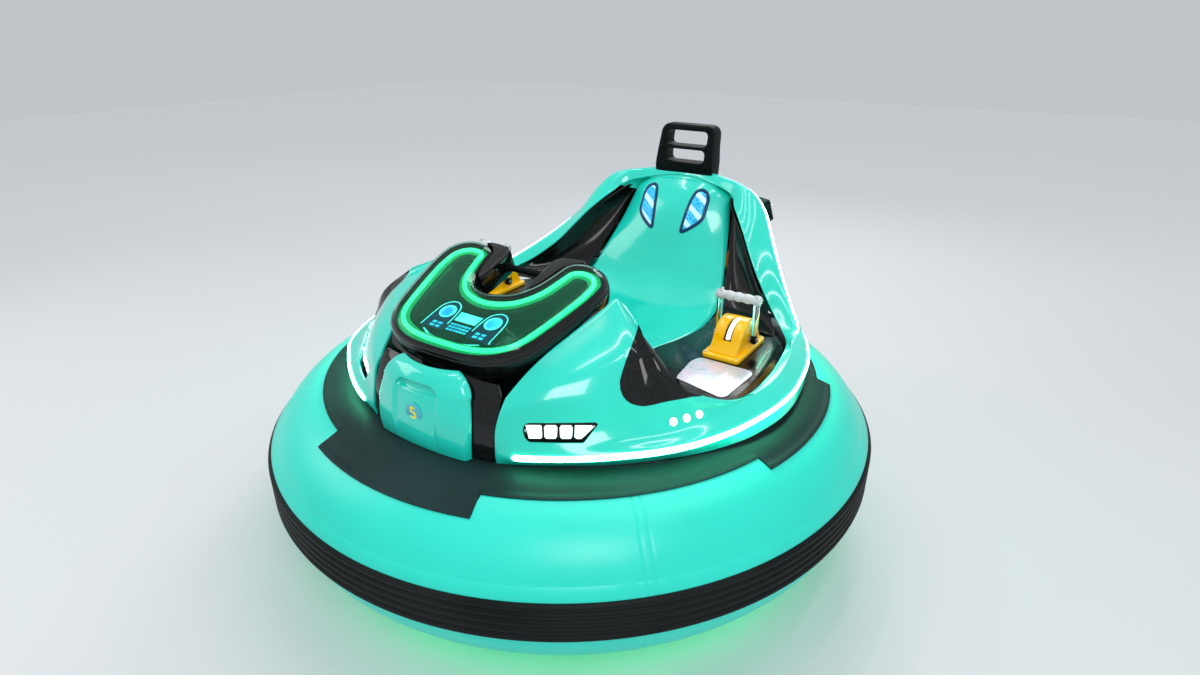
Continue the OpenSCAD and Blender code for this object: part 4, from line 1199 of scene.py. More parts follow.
shows.append(flat("screen", [(-36, 128), (36, 128), (38, 162), (-38, 162)], cyan_light, 0.0246, 0.0254))
for i in range(6):
    for j in range(3):
        shows.append(flat("key", oblong(-30 + i * 12, 92 + j * 11, 4.5, 3.4), blue_light))
shows.append(line_on("smile", [(-98, 72), (-60, 58), (0, 52), (60, 58), (98, 72)], 4.0, cyan_light))
instruments = weld(*shows)
instruments.name = "instruments"
stands_for(instruments, "dash_display")
print("instrument faces", len(instruments.data.polygons))

# %% [markdown]
# Between the two horns of the dash sits a short grab bar with a collar at each end. Three round
# bars on one axis are the whole of it; the collars are placed by their share of its length.

# %% Grab bar between the horns
bar_a, bar_b = dash_at @ Vector((-0.0780, 0.408, 0.002)), dash_at @ Vector((0.0780, 0.408, 0.002))
grab = pin("grab_rail", bar_a, bar_b, 0.010, satin_black)
collars = [pin("grab_socket", bar_a.lerp(bar_b, t), bar_a.lerp(bar_b, u), 0.0145, satin_black, 0.002)
           for t, u in ((0.0, 0.07), (0.93, 1.0))]
grab = weld(grab, *collars)
stands_for(grab, "grab_bar")
print("grab bar", round((bar_b - bar_a).length, 3), "m long")

# %% [markdown]
# Seat: one mint moulding, narrow at the shoulders and wide at the cushion, its rim rolled back.
# A cushion could be modelled by hand; here thirteen levels down the seat hold where its middle
# and its rim lie, and a high power of the width gives the flat back and the steep sides.

# %% Seat shell
# Each level holds y and z in the middle, half the width, y and z at the rim.
SEAT = [(728, 992, 150, 742, 976), (697, 965, 196, 748, 950), (657, 903, 211, 722, 900),
        (624, 820, 234, 668, 812), (594, 735, 260, 596, 720), (546, 650, 284, 524, 638),
        (470, 592, 302, 440, 608), (340, 566, 316, 300, 606),
        (200, 564, 302, 200, 604), (110, 576, 284, 125, 602), (52, 586, 260, 74, 594), (34, 562, 248, 58, 562),
        (38, 470, 243, 60, 470)]


def mix5(rows, k):
    """A row between the given rows, bent the same way as the skins."""
    i, last = min(int(k), len(rows) - 2), len(rows) - 1
    four = [rows[max(0, min(j, last))] for j in (i - 1, i, i + 1, i + 2)]
    return [bent(*[r[c] for r in four], k - i) for c in range(len(rows[0]))]


def rounded_outline(points, r, rounds=3):
    """An outline in millimetres, its corners rounded by r; the result is in metres."""
    pts = [Vector(p) for p in points]
    out, n = [], len(pts)
    for i, b in enumerate(pts):
        a, c = pts[i - 1], pts[(i + 1) % n]
        q = min(r, (a - b).length * 0.48, (c - b).length * 0.48)
        p, e = b + (a - b).normalized() * q, b + (c - b).normalized() * q
        out += [p.lerp(b, k / rounds).lerp(b.lerp(e, k / rounds), k / rounds) for k in range(rounds + 1)]
    return [(p.x * MM, p.y * MM) for p in out]


def seat_at(s, t):
    """The point of the seat at s down and t across it."""
    y0, z0, half_wide, y1, z1 = mix5(SEAT, s * 12)
    u = t * 2 - 1
    v = abs(u) ** 2.6
    p = Vector((u * half_wide, y0 * (1 - v) + y1 * v, z0 * (1 - v) + z1 * v))
    rim = max(0.0, (abs(u) - 0.95) / 0.05)
    p.y, p.z = (p.y + 10 * rim ** 2 * (s < 0.5), p.z - 9 * rim ** 2 * (0.42 < s < 0.9))
    return p * MM


def seat_out(s, t, e=0.004):
    """Straight out of the seat, towards the driver."""
    du = seat_at(min(s + e, 1), t) - seat_at(max(s - e, 0), t)
    dv = seat_at(s, min(t + e, 1)) - seat_at(s, max(t - e, 0))
    n = du.cross(dv).normalized()
    return n if n.y < 0 or n.z > 0.3 else -n


def seat_under(x, z):
    """The s and t of the seat's point at x, z, found by stepping closer to it."""
    s, t = 2.2 / 12, 0.5 + x / 0.42
    for _ in range(12):
        p, e = seat_at(s, t), 0.001
        a, b = (seat_at(s + e, t) - p) / e, (seat_at(s, t + e) - p) / e
        det = a.x * b.z - b.x * a.z
        dx, dz = x - p.x, z - p.z
        s += (dx * b.z - b.x * dz) / det
        t += (a.x * dz - dx * a.z) / det
        s, t = min(max(s, 0.0), 0.6), min(max(t, 0.0), 1.0)
    return s, t


seat = wall(new_piece("seat_moulding", grid_sheet(96, 72, seat_at), gel_coat), 0.006, 0.002)
print("seat faces", len(seat.data.polygons))

# %% [markdown]
# At the seat's top a narrow strip of the same skin closes the seam to the arch above it. The two
# skins could be bent to meet, but then neither would keep its own even rows; a strip from one
# edge to the other is simpler, with its top tucked just inside the arch.

# %% Blend from seat to arch
BLEND_V, TUCK = 4.92, 0.0035


def seat_top(s, t):
    """From the arch's inner edge (s 0) down to the seat's top edge (s 1)."""
    q = abs(2 * t - 1)
    u = BACK + q * 1.6
    up, near = on_skin(body_rows, u, BLEND_V), on_skin(body_rows, u, 4.7)
    round_it = on_skin(body_rows, u + 0.1, BLEND_V) - on_skin(body_rows, u - 0.1, BLEND_V)
    inward = round_it.cross(near - up).normalized()
    up = up + inward * (TUCK if inward.z < 0 else -TUCK)
    low = seat_at(0, 0.5 - 0.5 * q / 0.42) if q < 0.42 else seat_at((q - 0.42) / 0.58 * 0.125, 0.004)
    p = up.lerp(low, s) + Vector((0, 0.012, -0.004)) * s * (1 - s)
    return Vector((p.x if t < 0.5 else -p.x, p.y, p.z))


top_blend = wall(new_piece("seat_top_blend", grid_sheet(6, 80, seat_top), gel_coat), 0.004, 0.001)
seat = weld(seat, top_blend)
stands_for(seat, "seat_shell")
print("seat with blend", len(seat.data.polygons))

# %% [markdown]
# Two leaf-shaped blue lamps sit in the seat at head height, each a domed prism lens in a dark
# blue frame. The leaf could be drawn flat and pressed on; it is drawn once and laid on the seat
# by solving for the place under each point, so that lens and frame follow the curve.

# %% Leaf lamps
LEAF = [(-36, -87), (-10, -73), (13, -57), (31, -40), (38, -26), (38, 34), (28, 56), (4, 65), (-12, 58),
        (-22, 30), (-31, -30)]
# share of the leaf's size and height over the seat, for each ring of the lens
LENS_RINGS = ((1.0, -0.0008), (0.90, 0.0010), (0.84, 0.0024), (0.68, 0.0040), (0.45, 0.0050), (0.20, 0.0054))
leaf = [(x * 1000, y * 1000) for x, y in rounded_outline(LEAF, 12, 4)]
lamps = []
for side in (1, -1):
    rings, frame_line, frame_up = [], [], []
    for k, lift in LENS_RINGS:
        ring = []
        for x, z in leaf:
            s, t = seat_under(side * (0.097 + (x * k + (1 - k) * 2) * MM), 0.903 + z * k * MM)
            ring.append(seat_at(s, t) + seat_out(s, t) * lift)
            if k == 1.0:
                frame_line.append(seat_at(s, t) + seat_out(s, t) * 0.0008)
                frame_up.append(seat_out(s, t))
        rings.append(ring)
    lamps.append(ring_stack("leaf_lens", rings, prism_blue, Matrix.Identity(4), smooth=60))
    lamps.append(hose("leaf_frame", frame_line, 0.0064, frame_blue, closed=True, around=12, flat=0.62,
                      up=frame_up))
leaves = weld(*lamps)
leaves.name = "seat_leaf_lamps"
stands_for(leaves, "seat_lamps")
print("leaf lamp faces", len(leaves.data.polygons))

# %% [markdown]
# Cockpit: a glossy black lining falls from the shell's edge to flat side decks. Its section is a
# short zigzag that could be extruded along a path; it is bent through eleven stations instead,
# because its width changes all the way, and each corner is rounded as the moulding is.

# %% Cockpit lining
# Each station holds the top edge x y z, the deck's outer x y and the deck's inner x y.
DECK = 0.614
LINING = [(250, -440, 606, 236, -436, 150, -412), (430, -390, 610, 420, -384, 210, -372),
          (530, -310, 612, 514, -306, 262, -300), (598, -222, 640, 574, -218, 272, -220),
          (646, -130, 635, 622, -126, 270, -120), (657, -40, 633, 632, -38, 270, -20),
          (655, 50, 632, 629, 48, 274, 60), (645, 140, 631, 619, 138, 300, 140),
          (632, 205, 629, 608, 200, 314, 200), (612, 265, 624, 592, 256, 322, 260),
          (570, 335, 619, 548, 322, 328, 330)]


def rounded(row, radius, steps=4):
    """A row of points with its inner corners rounded."""
    out = [row[0]]
    for a, b, c in zip(row, row[1:], row[2:]):
        r = min(radius, (a - b).length * 0.45, (c - b).length * 0.45)
        p, q = b + (a - b).normalized() * r, b + (c - b).normalized() * r
        out += [p.lerp(b, k / steps).lerp(b.lerp(q, k / steps), k / steps) for k in range(steps + 1)]
    return out + [row[-1]]


def lining_row(k):
    c = mix5(LINING, k)
    row = [Vector(c[0:3]), Vector((c[3], c[4], 614)), Vector((c[5] + 7, c[6], 614)), Vector((c[5], c[6], 607)),
           Vector((c[5] - 4, c[6], 558))]
    return [p * MM for p in rounded(row, 12)]


lining_rows = [lining_row(k / 8) for k in range(81)]
across = len(lining_rows[0]) - 1
tub = wall(new_piece("cockpit_lining",
                     grid_sheet(80, across, lambda s, t: lining_rows[round(s * 80)][round(t * across)]),
                     deck_black), 0.004, 0.0)
for ob in (tub, mirrored(tub, "cockpit_lining_right")):
    stands_for(ob, "cockpit_tub")
print("lining faces", len(tub.data.polygons))

# %% [markdown]
# Below the decks stand short posts, a bar crosses the footwell, and brackets hold the shells.
# Hardly any of this shows, so plain blocks and the solids' own brackets are enough.

# %% Posts, bar and brackets
POST_SPOTS = ((0.5, -0.18), (0.52, 0.18))
posts = []
for s in (1, -1):
    for x, y in POST_SPOTS:
        posts.append(block("deck_post", (0.04, 0.04, 0.058), (x * s, y, 0.581), satin_black))
posts.append(block("deck_cross_bar", (0.516, 0.030, 0.012), (0, -0.422, 0.604), satin_black))
posts = weld(*posts)
posts.name = "deck_posts"
brackets = islands("shell_brackets", "cockpit_tub", lambda s: max(s) < 0.16, zinc, 0.0)
stands_for(posts, "cockpit_tub")
stands_for(brackets, "cockpit_tub")
print("posts", len(posts.data.polygons), "brackets", len(brackets.data.polygons))

# %% [markdown]
# Black side panels close the arms against the seat. A flat plate would cut through both; each
# panel is bent through seven stations from the arm's edge to the seat's edge, with a slight
# belly, and its foot is kept on the deck. The other side's panel is its mirror image.

# %% Side panels
# Each station holds the point at the arm and the point at the seat.
WINGS = [((569, 330, 615), (328, 325, 609)), ((508, 424, 646), (324, 440, 613)),
         ((428, 492, 718), (299, 516, 644)), ((374, 534, 786), (272, 598, 724)),
         ((322, 582, 852), (246, 670, 812)), ((258, 644, 914), (222, 728, 902)),
         ((216, 704, 950), (208, 748, 944))]
wing_rows = []
for a, b in WINGS:
    a, b = Vector(a) * MM, Vector(b) * MM
    wing_rows.append([a, a * 0.7 + b * 0.3 + Vector((0, 0.030, -0.004)),
                      a * 0.3 + b * 0.7 + Vector((0, 0.026, -0.004)), b])


def wing_place(s, t):
    p = on_skin(wing_rows, s * 6, t * 3)
    return Vector((p.x, p.y, max(p.z, 0.6135)))


wing = wall(new_piece("side_panel_left", grid_sheet(60, 14, wing_place), deck_black), 0.004, 0.001)
stands_for(wing, "side_linings")
stands_for(mirrored(wing, "side_panel_right"), "side_linings")
print("side panel faces", len(wing.data.polygons))

# %% [markdown]
# Push handle and headrest: a waisted block of self-skinned foam on a core, with two hand slots
# right through. It could be sculpted from a cube; two plates do it exactly, one with its front
# outline and one with its side outline, whose common part is the block. Its foot is cut to the
# arch. The outlines are smoothed first so that no facet shows.

# %% Push handle
UP_FRONT = Matrix.Rotation(math.radians(90), 4, "X")
UP_SIDE = Matrix.Rotation(math.radians(90), 4, "Z") @ Matrix.Rotation(math.radians(90), 4, "X")
FROM_FRONT = [(-118, 1000), (118, 1000), (120, 1040), (112, 1130), (108, 1172), (90, 1192), (-90, 1192),
              (-108, 1172), (-112, 1130), (-120, 1040)]
FROM_SIDE = [(752, 1000), (812, 1000), (812, 1040), (818, 1060), (822, 1110), (836, 1160), (832, 1184),
             (820, 1192), (784, 1192), (772, 1184), (766, 1150), (752, 1090), (744, 1034)]
front_form = slab("handle", rounded_outline(FROM_FRONT, 22, 5), -0.90, -0.65, satin_black, edge=0,
                  place=UP_FRONT)
side_form = slab("handle_side", rounded_outline(FROM_SIDE, 18, 5), -0.14, 0.14, satin_black, edge=0,
                 place=UP_SIDE)
handle = cut(front_form, side_form, how="INTERSECT")


def stadium(w, h, r, cx=0.0, cy=0.0, n=8):
    """A rectangle of width w and height h with round corners, as points."""
    out = []
    for qx, qy, a0 in ((1, 1, 0), (-1, 1, 90), (-1, -1, 180), (1, -1, 270)):
        for k in range(n + 1):
            a = math.radians(a0 + 90 * k / n)
            out.append((cx + qx * (w / 2 - r) + r * math.cos(a), cy + qy * (h / 2 - r) + r * math.sin(a)))
    return out


for z, w, h in ((1141, 172, 56), (1078, 166, 48)):
    cut(handle, slab("slot", [(x * MM, y * MM) for x, y in stadium(w, h, 18, 0, z)], -0.92, -0.60, satin_black,
                     edge=0, place=UP_FRONT))
foot = moulding("foot_cut", body_rows, (BACK - 5, BACK + 5), (3.67, 5), (60, 24), gel_coat, thick=0.060,
                lift=0.0002, edge=0)
cut(handle, foot)
soft = handle.modifiers.new("soft", "BEVEL")
soft.width, soft.segments, soft.limit_method, soft.angle_limit = 0.005, 3, "ANGLE", math.radians(42)
settle(handle, 50)
handle.name = "push_handle"
stands_for(handle, "headrest_handle")
print("handle faces", len(handle.data.polygons))

# %% [markdown]
# On each side deck lies a blank foil plate, printed on the real car. It is a thin plate with
# rounded corners, set a hair above the deck so that the two faces never share one place.

# %% Plates on the decks
PLATE = [(430, -96), (418, 20), (426, 58), (440, 66), (596, 62), (608, 44), (598, -120), (584, -134)]
plate_left = slab("info_plate_left", rounded_outline(PLATE, 12), DECK + 0.0002, DECK + 0.002, foil, edge=0.0006)
stands_for(plate_left, "info_plates")
stands_for(mirrored(plate_left, "info_plate_right"), "info_plates")
print("plate faces", len(plate_left.data.polygons))

# %% [markdown]
# Behind each plate stands an amber box with a lever: a flanged base, a domed body, and a slot
# with a light bar in it. Base and body are plates with their outlines, one laid flat and one
# upright. The slot is a part of a flat ring, cut out of the body round the lever's axis.

# %% Control boxes
PIVOT = Vector((0.488, 0.190, 0.655))
# the box's middle across (metres), and its dome's centre and radius (millimetres)
BOX_X, BOX_Y, BOX_Z, BOX_R = 0.488, 190, 642, 76
base = slab("control_base", [(x * MM, y * MM) for x, y in stadium(122, 218, 14, 488, 183)], DECK, 0.629,
            amber_box, edge=0.0035)
over = [(BOX_Y - BOX_R * math.cos(math.radians(a)), BOX_Z + BOX_R * math.sin(math.radians(a)))
        for a in range(22, 159, 6)]
dome_line = [(92, 622), (92, 632), (116, 662)] + over + [(264, 662), (280, 632), (280, 622)]
body = slab("control_body", [(y * MM, z * MM) for y, z in dome_line], 0.442, 0.534, amber_box, edge=0.006,
            place=UP_SIDE)


def sector(r0, r1, a0, a1, n=24):
    """Part of a flat ring round the dome's centre, from angle a0 at the front up and over to a1."""
    out = []
    for r, angles in ((r0, range(n + 1)), (r1, range(n, -1, -1))):
        turns = [math.radians(a0 + (a1 - a0) * k / n) for k in angles]
        out += [(BOX_Y * MM - r * math.cos(a), BOX_Z * MM + r * math.sin(a)) for a in turns]
    return out


cut(body, slab("groove", sector(0.062, 0.090, 16, 118), BOX_X - 0.0145, BOX_X + 0.0145, piano_black, edge=0,
               place=UP_SIDE))
trough = slab("groove_floor", sector(0.0600, 0.0625, 13, 121), BOX_X - 0.0155, BOX_X + 0.0155, deck_black,
              edge=0, place=UP_SIDE)
for s in (-1, 1):
    cut(body, pin("pivot_recess", PIVOT + Vector((s * 0.034, 0, 0)), PIVOT + Vector((s * 0.048, 0, 0)), 0.0145,
                  piano_black))
light_bar = slab("light_bar", sector(0.061, 0.0690, 20, 114), BOX_X - 0.0066, BOX_X + 0.0066, white_light,
                 edge=0.003, place=UP_SIDE)
screws = []
for sx in (-1, 1):
    for sy in (-1, 1):
        spot = Matrix.Translation((BOX_X + sx * 0.051, 0.183 + sy * 0.099, 0.6285))
        screws.append(turned("screw", [(0, 0), (0.0042, 0), (0.0042, 0.0012), (0.0030, 0.0024), (0, 0.0028)],
                             zinc, 20, spot, closed=False))
box_left = weld(body, base, trough, light_bar, *screws)
box_left.name = "control_box_left_piece"
stands_for(box_left, "control_box_left")
stands_for(mirrored(box_left, "control_box_right_piece"), "control_box_right")
print("box faces", len(box_left.data.polygons))

# %% [markdown]
# The lever has two clear arms, dark pivot discs with bolts, and a white grip with four finger
# grooves. The grip is a lathe shape whose radius follows a wave along it; modelling each groove
# by hand would take longer and come out less even. Each lever rides on its own hinged body.

# %% Levers
GROOVES, GRIP_STEPS = 4, 32


def lever(side):
    bars = []
    for s in (-1, 1):
        x = PIVOT.x + s * 0.0595
        arm_line = [(190 + a, 655 + b) for a, b in stadium(27, 158, 13.4, 0, 65)]
        bar = slab("lever_arm", [(y * MM, z * MM) for y, z in arm_line], x - 0.006, x + 0.006, clear_bar,
                   edge=0.0012, place=UP_SIDE)
        bars.append(bar)
        out = Vector((x, PIVOT.y, PIVOT.z))
        bars.append(pin("pivot_disc", out - Vector((s * 0.0072, 0, 0)), out + Vector((s * 0.0078, 0, 0)),
                        0.0138, satin_black, 0.0015, 32))
        bars.append(pin("pivot_bolt", out + Vector((s * 0.007, 0, 0)), out + Vector((s * 0.0128, 0, 0)),
                        0.0078, zinc, 0.001, 6))
        bars.append(pin("pivot_pin", out - Vector((s * 0.006, 0, 0)), out - Vector((s * 0.019, 0, 0)), 0.0079,
                        zinc, 0, 32))
    profile = [(0.0, -0.0715), (0.0115, -0.0715), (0.0142, -0.0695), (0.0150, -0.066)]
    for k in range(GRIP_STEPS + 1):
        z = -0.058 + 0.116 * k / GRIP_STEPS
        wave = 0.5 - 0.5 * math.cos(math.tau * GROOVES * k / GRIP_STEPS)
        profile.append((0.0152 - 0.0026 * wave, z))
    profile += [(0.0150, 0.066), (0.0142, 0.0695), (0.0115, 0.0715), (0.0, 0.0715)]
    set_grip = Matrix.Translation((PIVOT.x, PIVOT.y, 0.783)) @ Matrix.Rotation(math.radians(90), 4, "Y")
    bars.append(turned("lever_grip", profile, grip_white, 40, set_grip, closed=False))
    return weld(*bars)


lever_l = lever(1)
lever_l.name = "hand_lever_left"
stands_for(lever_l, "lever_left", body="left_lever")
stands_for(mirrored(lever_l, "hand_lever_right"), "lever_right", body="right_lever")
print("lever faces", len(lever_l.data.polygons))

# %% [markdown]
# Belts: a covered reel behind each shoulder with the metal tongue parked in its mouth, and a buckle
# with a red button beside the seat. Blocks with bevelled edges, one cut and one thin plate make
# a reel; it is built upright at the origin and then turned into its slanted place.

# %% Belt reels and buckle
red_button = finish("red_button", (0.62, 0.012, 0.010), (0.74, 0.020, 0.016), 0.3, bump=0.1, grain=200)
reels = []
for side in (1, -1):
    set_reel = Matrix.Diagonal((side, 1, 1, 1)) @ Matrix.Translation((0.300, 0.770, 0.890))
    set_reel = set_reel @ Matrix.Rotation(math.radians(-30), 4, "Z") @ Matrix.Rotation(math.radians(20), 4, "X")
    set_reel = set_reel @ Matrix.Translation((0, 0.022, 0))
    reel = block("belt_reel", (0.060, 0.062, 0.084), (0, 0, 0), satin_black, 0.006)
    mouth = block("mouth", (0.050, 0.020, 0.008), (0, 0.026, 0.016), satin_black, 0.0)
    cut(reel, mouth)
    in_mouth = Matrix.Translation((0, 0.030, 0.016)) @ Matrix.Rotation(math.radians(-12), 4, "X")
    tongue_line = [(x * MM, y * MM) for x, y in stadium(44, 34, 8)]
    tongue = slab("belt_tongue", tongue_line, -0.0012, 0.0012, chrome, edge=0.0006, place=in_mouth)
    clip = block("tongue_cover", (0.034, 0.012, 0.008), (0, 0.036, 0.0145), satin_black, 0.0015)
    for part in (reel, tongue, clip):
        part.data.transform(set_reel)
        if side < 0:
            part.data.flip_normals()
    reels += [reel, tongue, clip]
buckle = block("buckle_body", (0.030, 0.084, 0.026), (-0.341, 0.382, 0.631), satin_black, 0.005)
strap = block("buckle_stalk", (0.022, 0.060, 0.008), (-0.341, 0.330, 0.618), satin_black, 0.002)
press = block("buckle_button", (0.020, 0.016, 0.004), (-0.341, 0.414, 0.6445), red_button, 0.0012)
belts = weld(*reels, buckle, strap, press)
belts.name = "belt_parts"
stands_for(belts, "belt_fittings")
print("belt faces", len(belts.data.polygons))

# %% [markdown]
# Ring: coated fabric, welded from four gores and blown up tight. A torus would be too round: the
# real tube is wider than high, flat where it rests and where the band sits. So its section is
# one loop of points, which later parts ask for their height over the tube.

# %% Section of the air ring
RING_R, RING_Z, RING_WIDE, RING_HIGH = 700, 318, 252, 229


def on_tube(degrees, lift=0.0):
    """Radius and height on the tube's section, in millimetres, at an angle up from outside."""
    a = math.radians(degrees)
    return RING_R + RING_WIDE * math.cos(a), RING_Z + RING_HIGH * math.sin(a) + lift


tube = [(448.5, 250), (448.5, 320), (448.5, 390)]
tube += [on_tube(a) for a in list(range(154, 24, -3)) + [25]]
tube += [(948, 394), (947, 330), (948, 271)]
tube += [on_tube(a) for a in range(-26, -80, -4)]
tube += [(740, 86.5), (660, 86.5)]
tube += [on_tube(a) for a in range(-104, -158, -4)]
print("points round the tube", len(tube))

# %% [markdown]
# Each weld between two gores shows as two fine lines, and the fabric puckers a little beside
# them. A relief in the finish would not show at the outline, so the grid itself is pressed in:
# its columns stand closer together at the welds, and each one there has its own depth.

# %% Air ring
SEAM = math.radians(46)
SEAM_COLUMNS = (0.0, 0.004, 0.0085, 0.0108, 0.0125, 0.0142, 0.0165, 0.022, 0.032, 0.045, 0.060)
SEAM_DEPTH = {5: 1.2, 6: 1.5, 7: 1.2, 13: 1.2, 14: 1.5, 15: 1.2}
columns = []
for g in range(4):
    a0 = SEAM + g * math.tau / 4
    beside = [-d for d in SEAM_COLUMNS[:0:-1]] + list(SEAM_COLUMNS)
    columns += [(a0 + d, k) for k, d in enumerate(beside)]
    columns += [(a0 + 0.060 + (math.tau / 4 - 0.120) * k / 38, -1) for k in range(1, 38)]


def tube_place(s, t):
    """The corner on column s and tube point t, pressed in beside the welds."""
    j, i = round(s * len(columns)) % len(columns), round(t * len(tube)) % len(tube)
    a, k = columns[j]
    r, z = tube[i]
    off = 0.0
    if k >= 0 and i > 2:
        off = SEAM_DEPTH.get(k, 0.25 if 5 < k < 15 else 0.0)
        if k in (2, 3, 4, 16, 17, 18) or 8 <= k <= 12:
            off += 0.35 * math.sin(i * 1.7 + k * 1.3)
    elif k == -1:
        off = 0.25 * math.sin(7 * a + i * 0.21)
    d = Vector((r - RING_R, 0, z - RING_Z)).normalized()
    r, z = r - d.x * off, z - d.z * off
    return Vector((r * math.sin(a), -r * math.cos(a), z)) * MM


ring_bm = grid_sheet(len(columns), len(tube), tube_place)
bmesh.ops.remove_doubles(ring_bm, verts=ring_bm.verts, dist=1e-6)
bmesh.ops.recalc_face_normals(ring_bm, faces=ring_bm.faces[:])
air_ring = new_piece("air_ring", ring_bm, ring_vinyl, 60)
stands_for(air_ring, "ring_tube")
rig.padded(air_ring, fill=1)
print("ring faces", len(air_ring.data.polygons))

# %% [markdown]
# A black rubber band with five ribs runs round the ring, where the cars meet. It is a lathe
# shape: one rib is a short list of points, repeated up the band, and spun round once. A relief
# map would be cheaper, but the ribs show against the light and have to be real.

# %% Rubber band with ribs
BAND_RIBS = 5
RIB = ((951, 0.6), (953.2, 1.6), (954, 3.0), (956.5, 4.6), (958.2, 6.6), (958.9, 8.6))
pitch, band = 111 / BAND_RIBS, [(948.3, 277.5)]
for k in range(BAND_RIBS):
    z = 277 + k * pitch
    rise = [(r, z + up) for r, up in RIB]
    fall = [(r, z + pitch - up) for r, up in RIB[:0:-1]]
    band += rise + [(959, z + pitch / 2)] + fall
band += [(951, 387.4), (948.3, 387.5)]
rub = turned("bumper_rub_band", [(r * MM, z * MM) for r, z in band], band_rubber, 192, smooth=70)
stands_for(rub, "bumper_band")
print("band faces", len(rub.data.polygons))

# %% [markdown]
# The skirt is a collar of leathercloth stretched over the top of the ring, with three tongues, in
# front and at both sides, that reach further down. It could be simulated as cloth, but it
# lies tight: a grid on the tube's own section, lifted by its thickness, gives the same result.

# %% Skirt
# Each tongue: its middle in degrees, half its width, and how far down the tube it reaches.
TONGUES = ((-90, 19, 56), (1.5, 19, 61), (178.5, 19, 61))
TONGUE_ENDS = (-109, -71, -17.5, 20.5, 159.5, -162.5)


def outer_angle(deg):
    """How far down the tube the skirt reaches at this angle round the car."""
    for mid, half_wide, reach in TONGUES:
        away = abs((deg - mid + 180) % 360 - 180)
        if away <= half_wide + 0.01:
            return reach
    return 71


spokes = list(range(-180, 180, 3))
for e in TONGUE_ENDS:
    spokes += [e - 0.12, e + 0.12]
spokes = sorted(d for d in set(spokes) if not any(0.13 < abs(d - e) < 1.0 for e in TONGUE_ENDS))
# the inner edge's angle, and the steps of the turned hem, in degrees down the tube
INNER_ANGLE, hem = 106, [0.0, 0.35, 2.9, 3.3]


def skirt_place(s, t):
    j, i = round(s * len(spokes)) % len(spokes), round(t * 16)
    deg = spokes[j]
    reach = outer_angle(deg)
    a = reach + (hem[i] if i < 4 else hem[-1] + (INNER_ANGLE - reach - hem[-1]) * (i - 3) / 13)
    lift = 4.0 if i < 3 else 3.0
    r, z = on_tube(a, lift)
    return Vector((r * math.cos(math.radians(deg)), r * math.sin(math.radians(deg)), z)) * MM


skirt_bm = grid_sheet(len(spokes), 16, skirt_place)
bmesh.ops.remove_doubles(skirt_bm, verts=skirt_bm.verts, dist=1e-6)
bmesh.ops.recalc_face_normals(skirt_bm, faces=skirt_bm.faces[:])
if sum(f.normal.z for f in skirt_bm.faces) < 0:
    bmesh.ops.reverse_faces(skirt_bm, faces=skirt_bm.faces[:])
skirt = wall(new_piece("top_skirt_cloth", skirt_bm, leathercloth), 0.003, 0.0008)
stands_for(skirt, "top_skirt")
flat_area = sum(f.area for f in skirt.data.polygons) / 2
print("skirt area", round(flat_area, 3), "spokes", len(spokes))
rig.sheet(skirt, flat=(1.60, 1.56), held="stretched", rests_on=[air_ring], area=round(flat_area, 2))

# %% [markdown]
# A thin strip under the ring throws a green glow on the floor. Lamps in a circle could do that;
# one spun rectangle with a bright finish gives the same glow evenly all round, and shows as a
# line of light from below.

# %% Floor light strip
strip = turned("floor_light_strip", [(0.7352, 0.0782), (0.7468, 0.0782), (0.7468, 0.0858), (0.7352, 0.0858)],
               floor_light, 192)
stands_for(strip, "under_glow")
print("strip faces", len(strip.data.polygons))

# %% [markdown]
# The inflation valve sits on the ring behind the driver: a stepped disc with a red cap, both
# turned on a lathe. It could be turned by eye until it lies flat; the way it faces comes from the
# tube's section instead, worked out like the slope of an ellipse.

# %% Valve
VALVE_R, VALVE_Z, va = 889.5, 467.7, math.radians(150)
vp = polar(VALVE_R, 150, VALVE_Z) * MM
lean = (VALVE_R - RING_R) / RING_WIDE ** 2
vn = Vector((math.sin(va) * lean, -math.cos(va) * lean, (VALVE_Z - RING_Z) / RING_HIGH ** 2)).normalized()
set_valve = Matrix.Translation(vp) @ vn.to_track_quat("Z", "Y").to_matrix().to_4x4()
VALVE = [(0, -0.002), (0.028, -0.002), (0.028, 0.004), (0.026, 0.0062), (0.019, 0.0072), (0.017, 0.006),
         (0.0125, 0.006), (0.0115, 0.0085), (0.0, 0.0085)]
CAP = [(0, 0.006), (0.0098, 0.006), (0.0098, 0.0088), (0.008, 0.0102), (0, 0.0104)]
valve = turned("valve_disc", VALVE, satin_black, 64, set_valve, closed=False)
cap = turned("valve_cap", CAP, red_button, 32, set_valve, closed=False)
valve = weld(valve, cap)
stands_for(valve, "inflation_valve")
print("valve faces", len(valve.data.polygons))

# %% [markdown]
# The wheels get a moulded tread. A texture of blocks would vanish from the side, so the grid's
# columns rise and fall round the rim like the tyre's blocks. Hubs and the smooth casters are
# lathe shapes, and the bolt holes are cut through the hub.

# %% Tyre with blocks
def tyre(name, profile, blocks, groove_r, deep, mat, place):
    """A closed grid round the axle; every fourth column is sunk by deep outside groove_r."""
    n = blocks * 4

    def put(s, t):
        j, i = round(s * n) % n, round(t * len(profile)) % len(profile)
        r, z = profile[i]
        a = math.tau * (j + (0.5 if z > 0 else 0.0)) / n
        if r > groove_r and j % 4 == 0:
            r -= deep
        return Vector((r * math.cos(a), r * math.sin(a), z)) * MM
    bm = grid_sheet(n, len(profile), put)
    bmesh.ops.remove_doubles(bm, verts=bm.verts, dist=1e-6)
    bmesh.ops.recalc_face_normals(bm, faces=bm.faces[:])
    bmesh.ops.transform(bm, matrix=place, verts=bm.verts)
    return new_piece(name, bm, mat, 35)


print("tyre helper ready")

# %% [markdown]
# Two driven wheels stand at the sides, each on its own body so that it can spin, and two small
# casters front and rear. A loop makes each pair: only place, name and body differ.

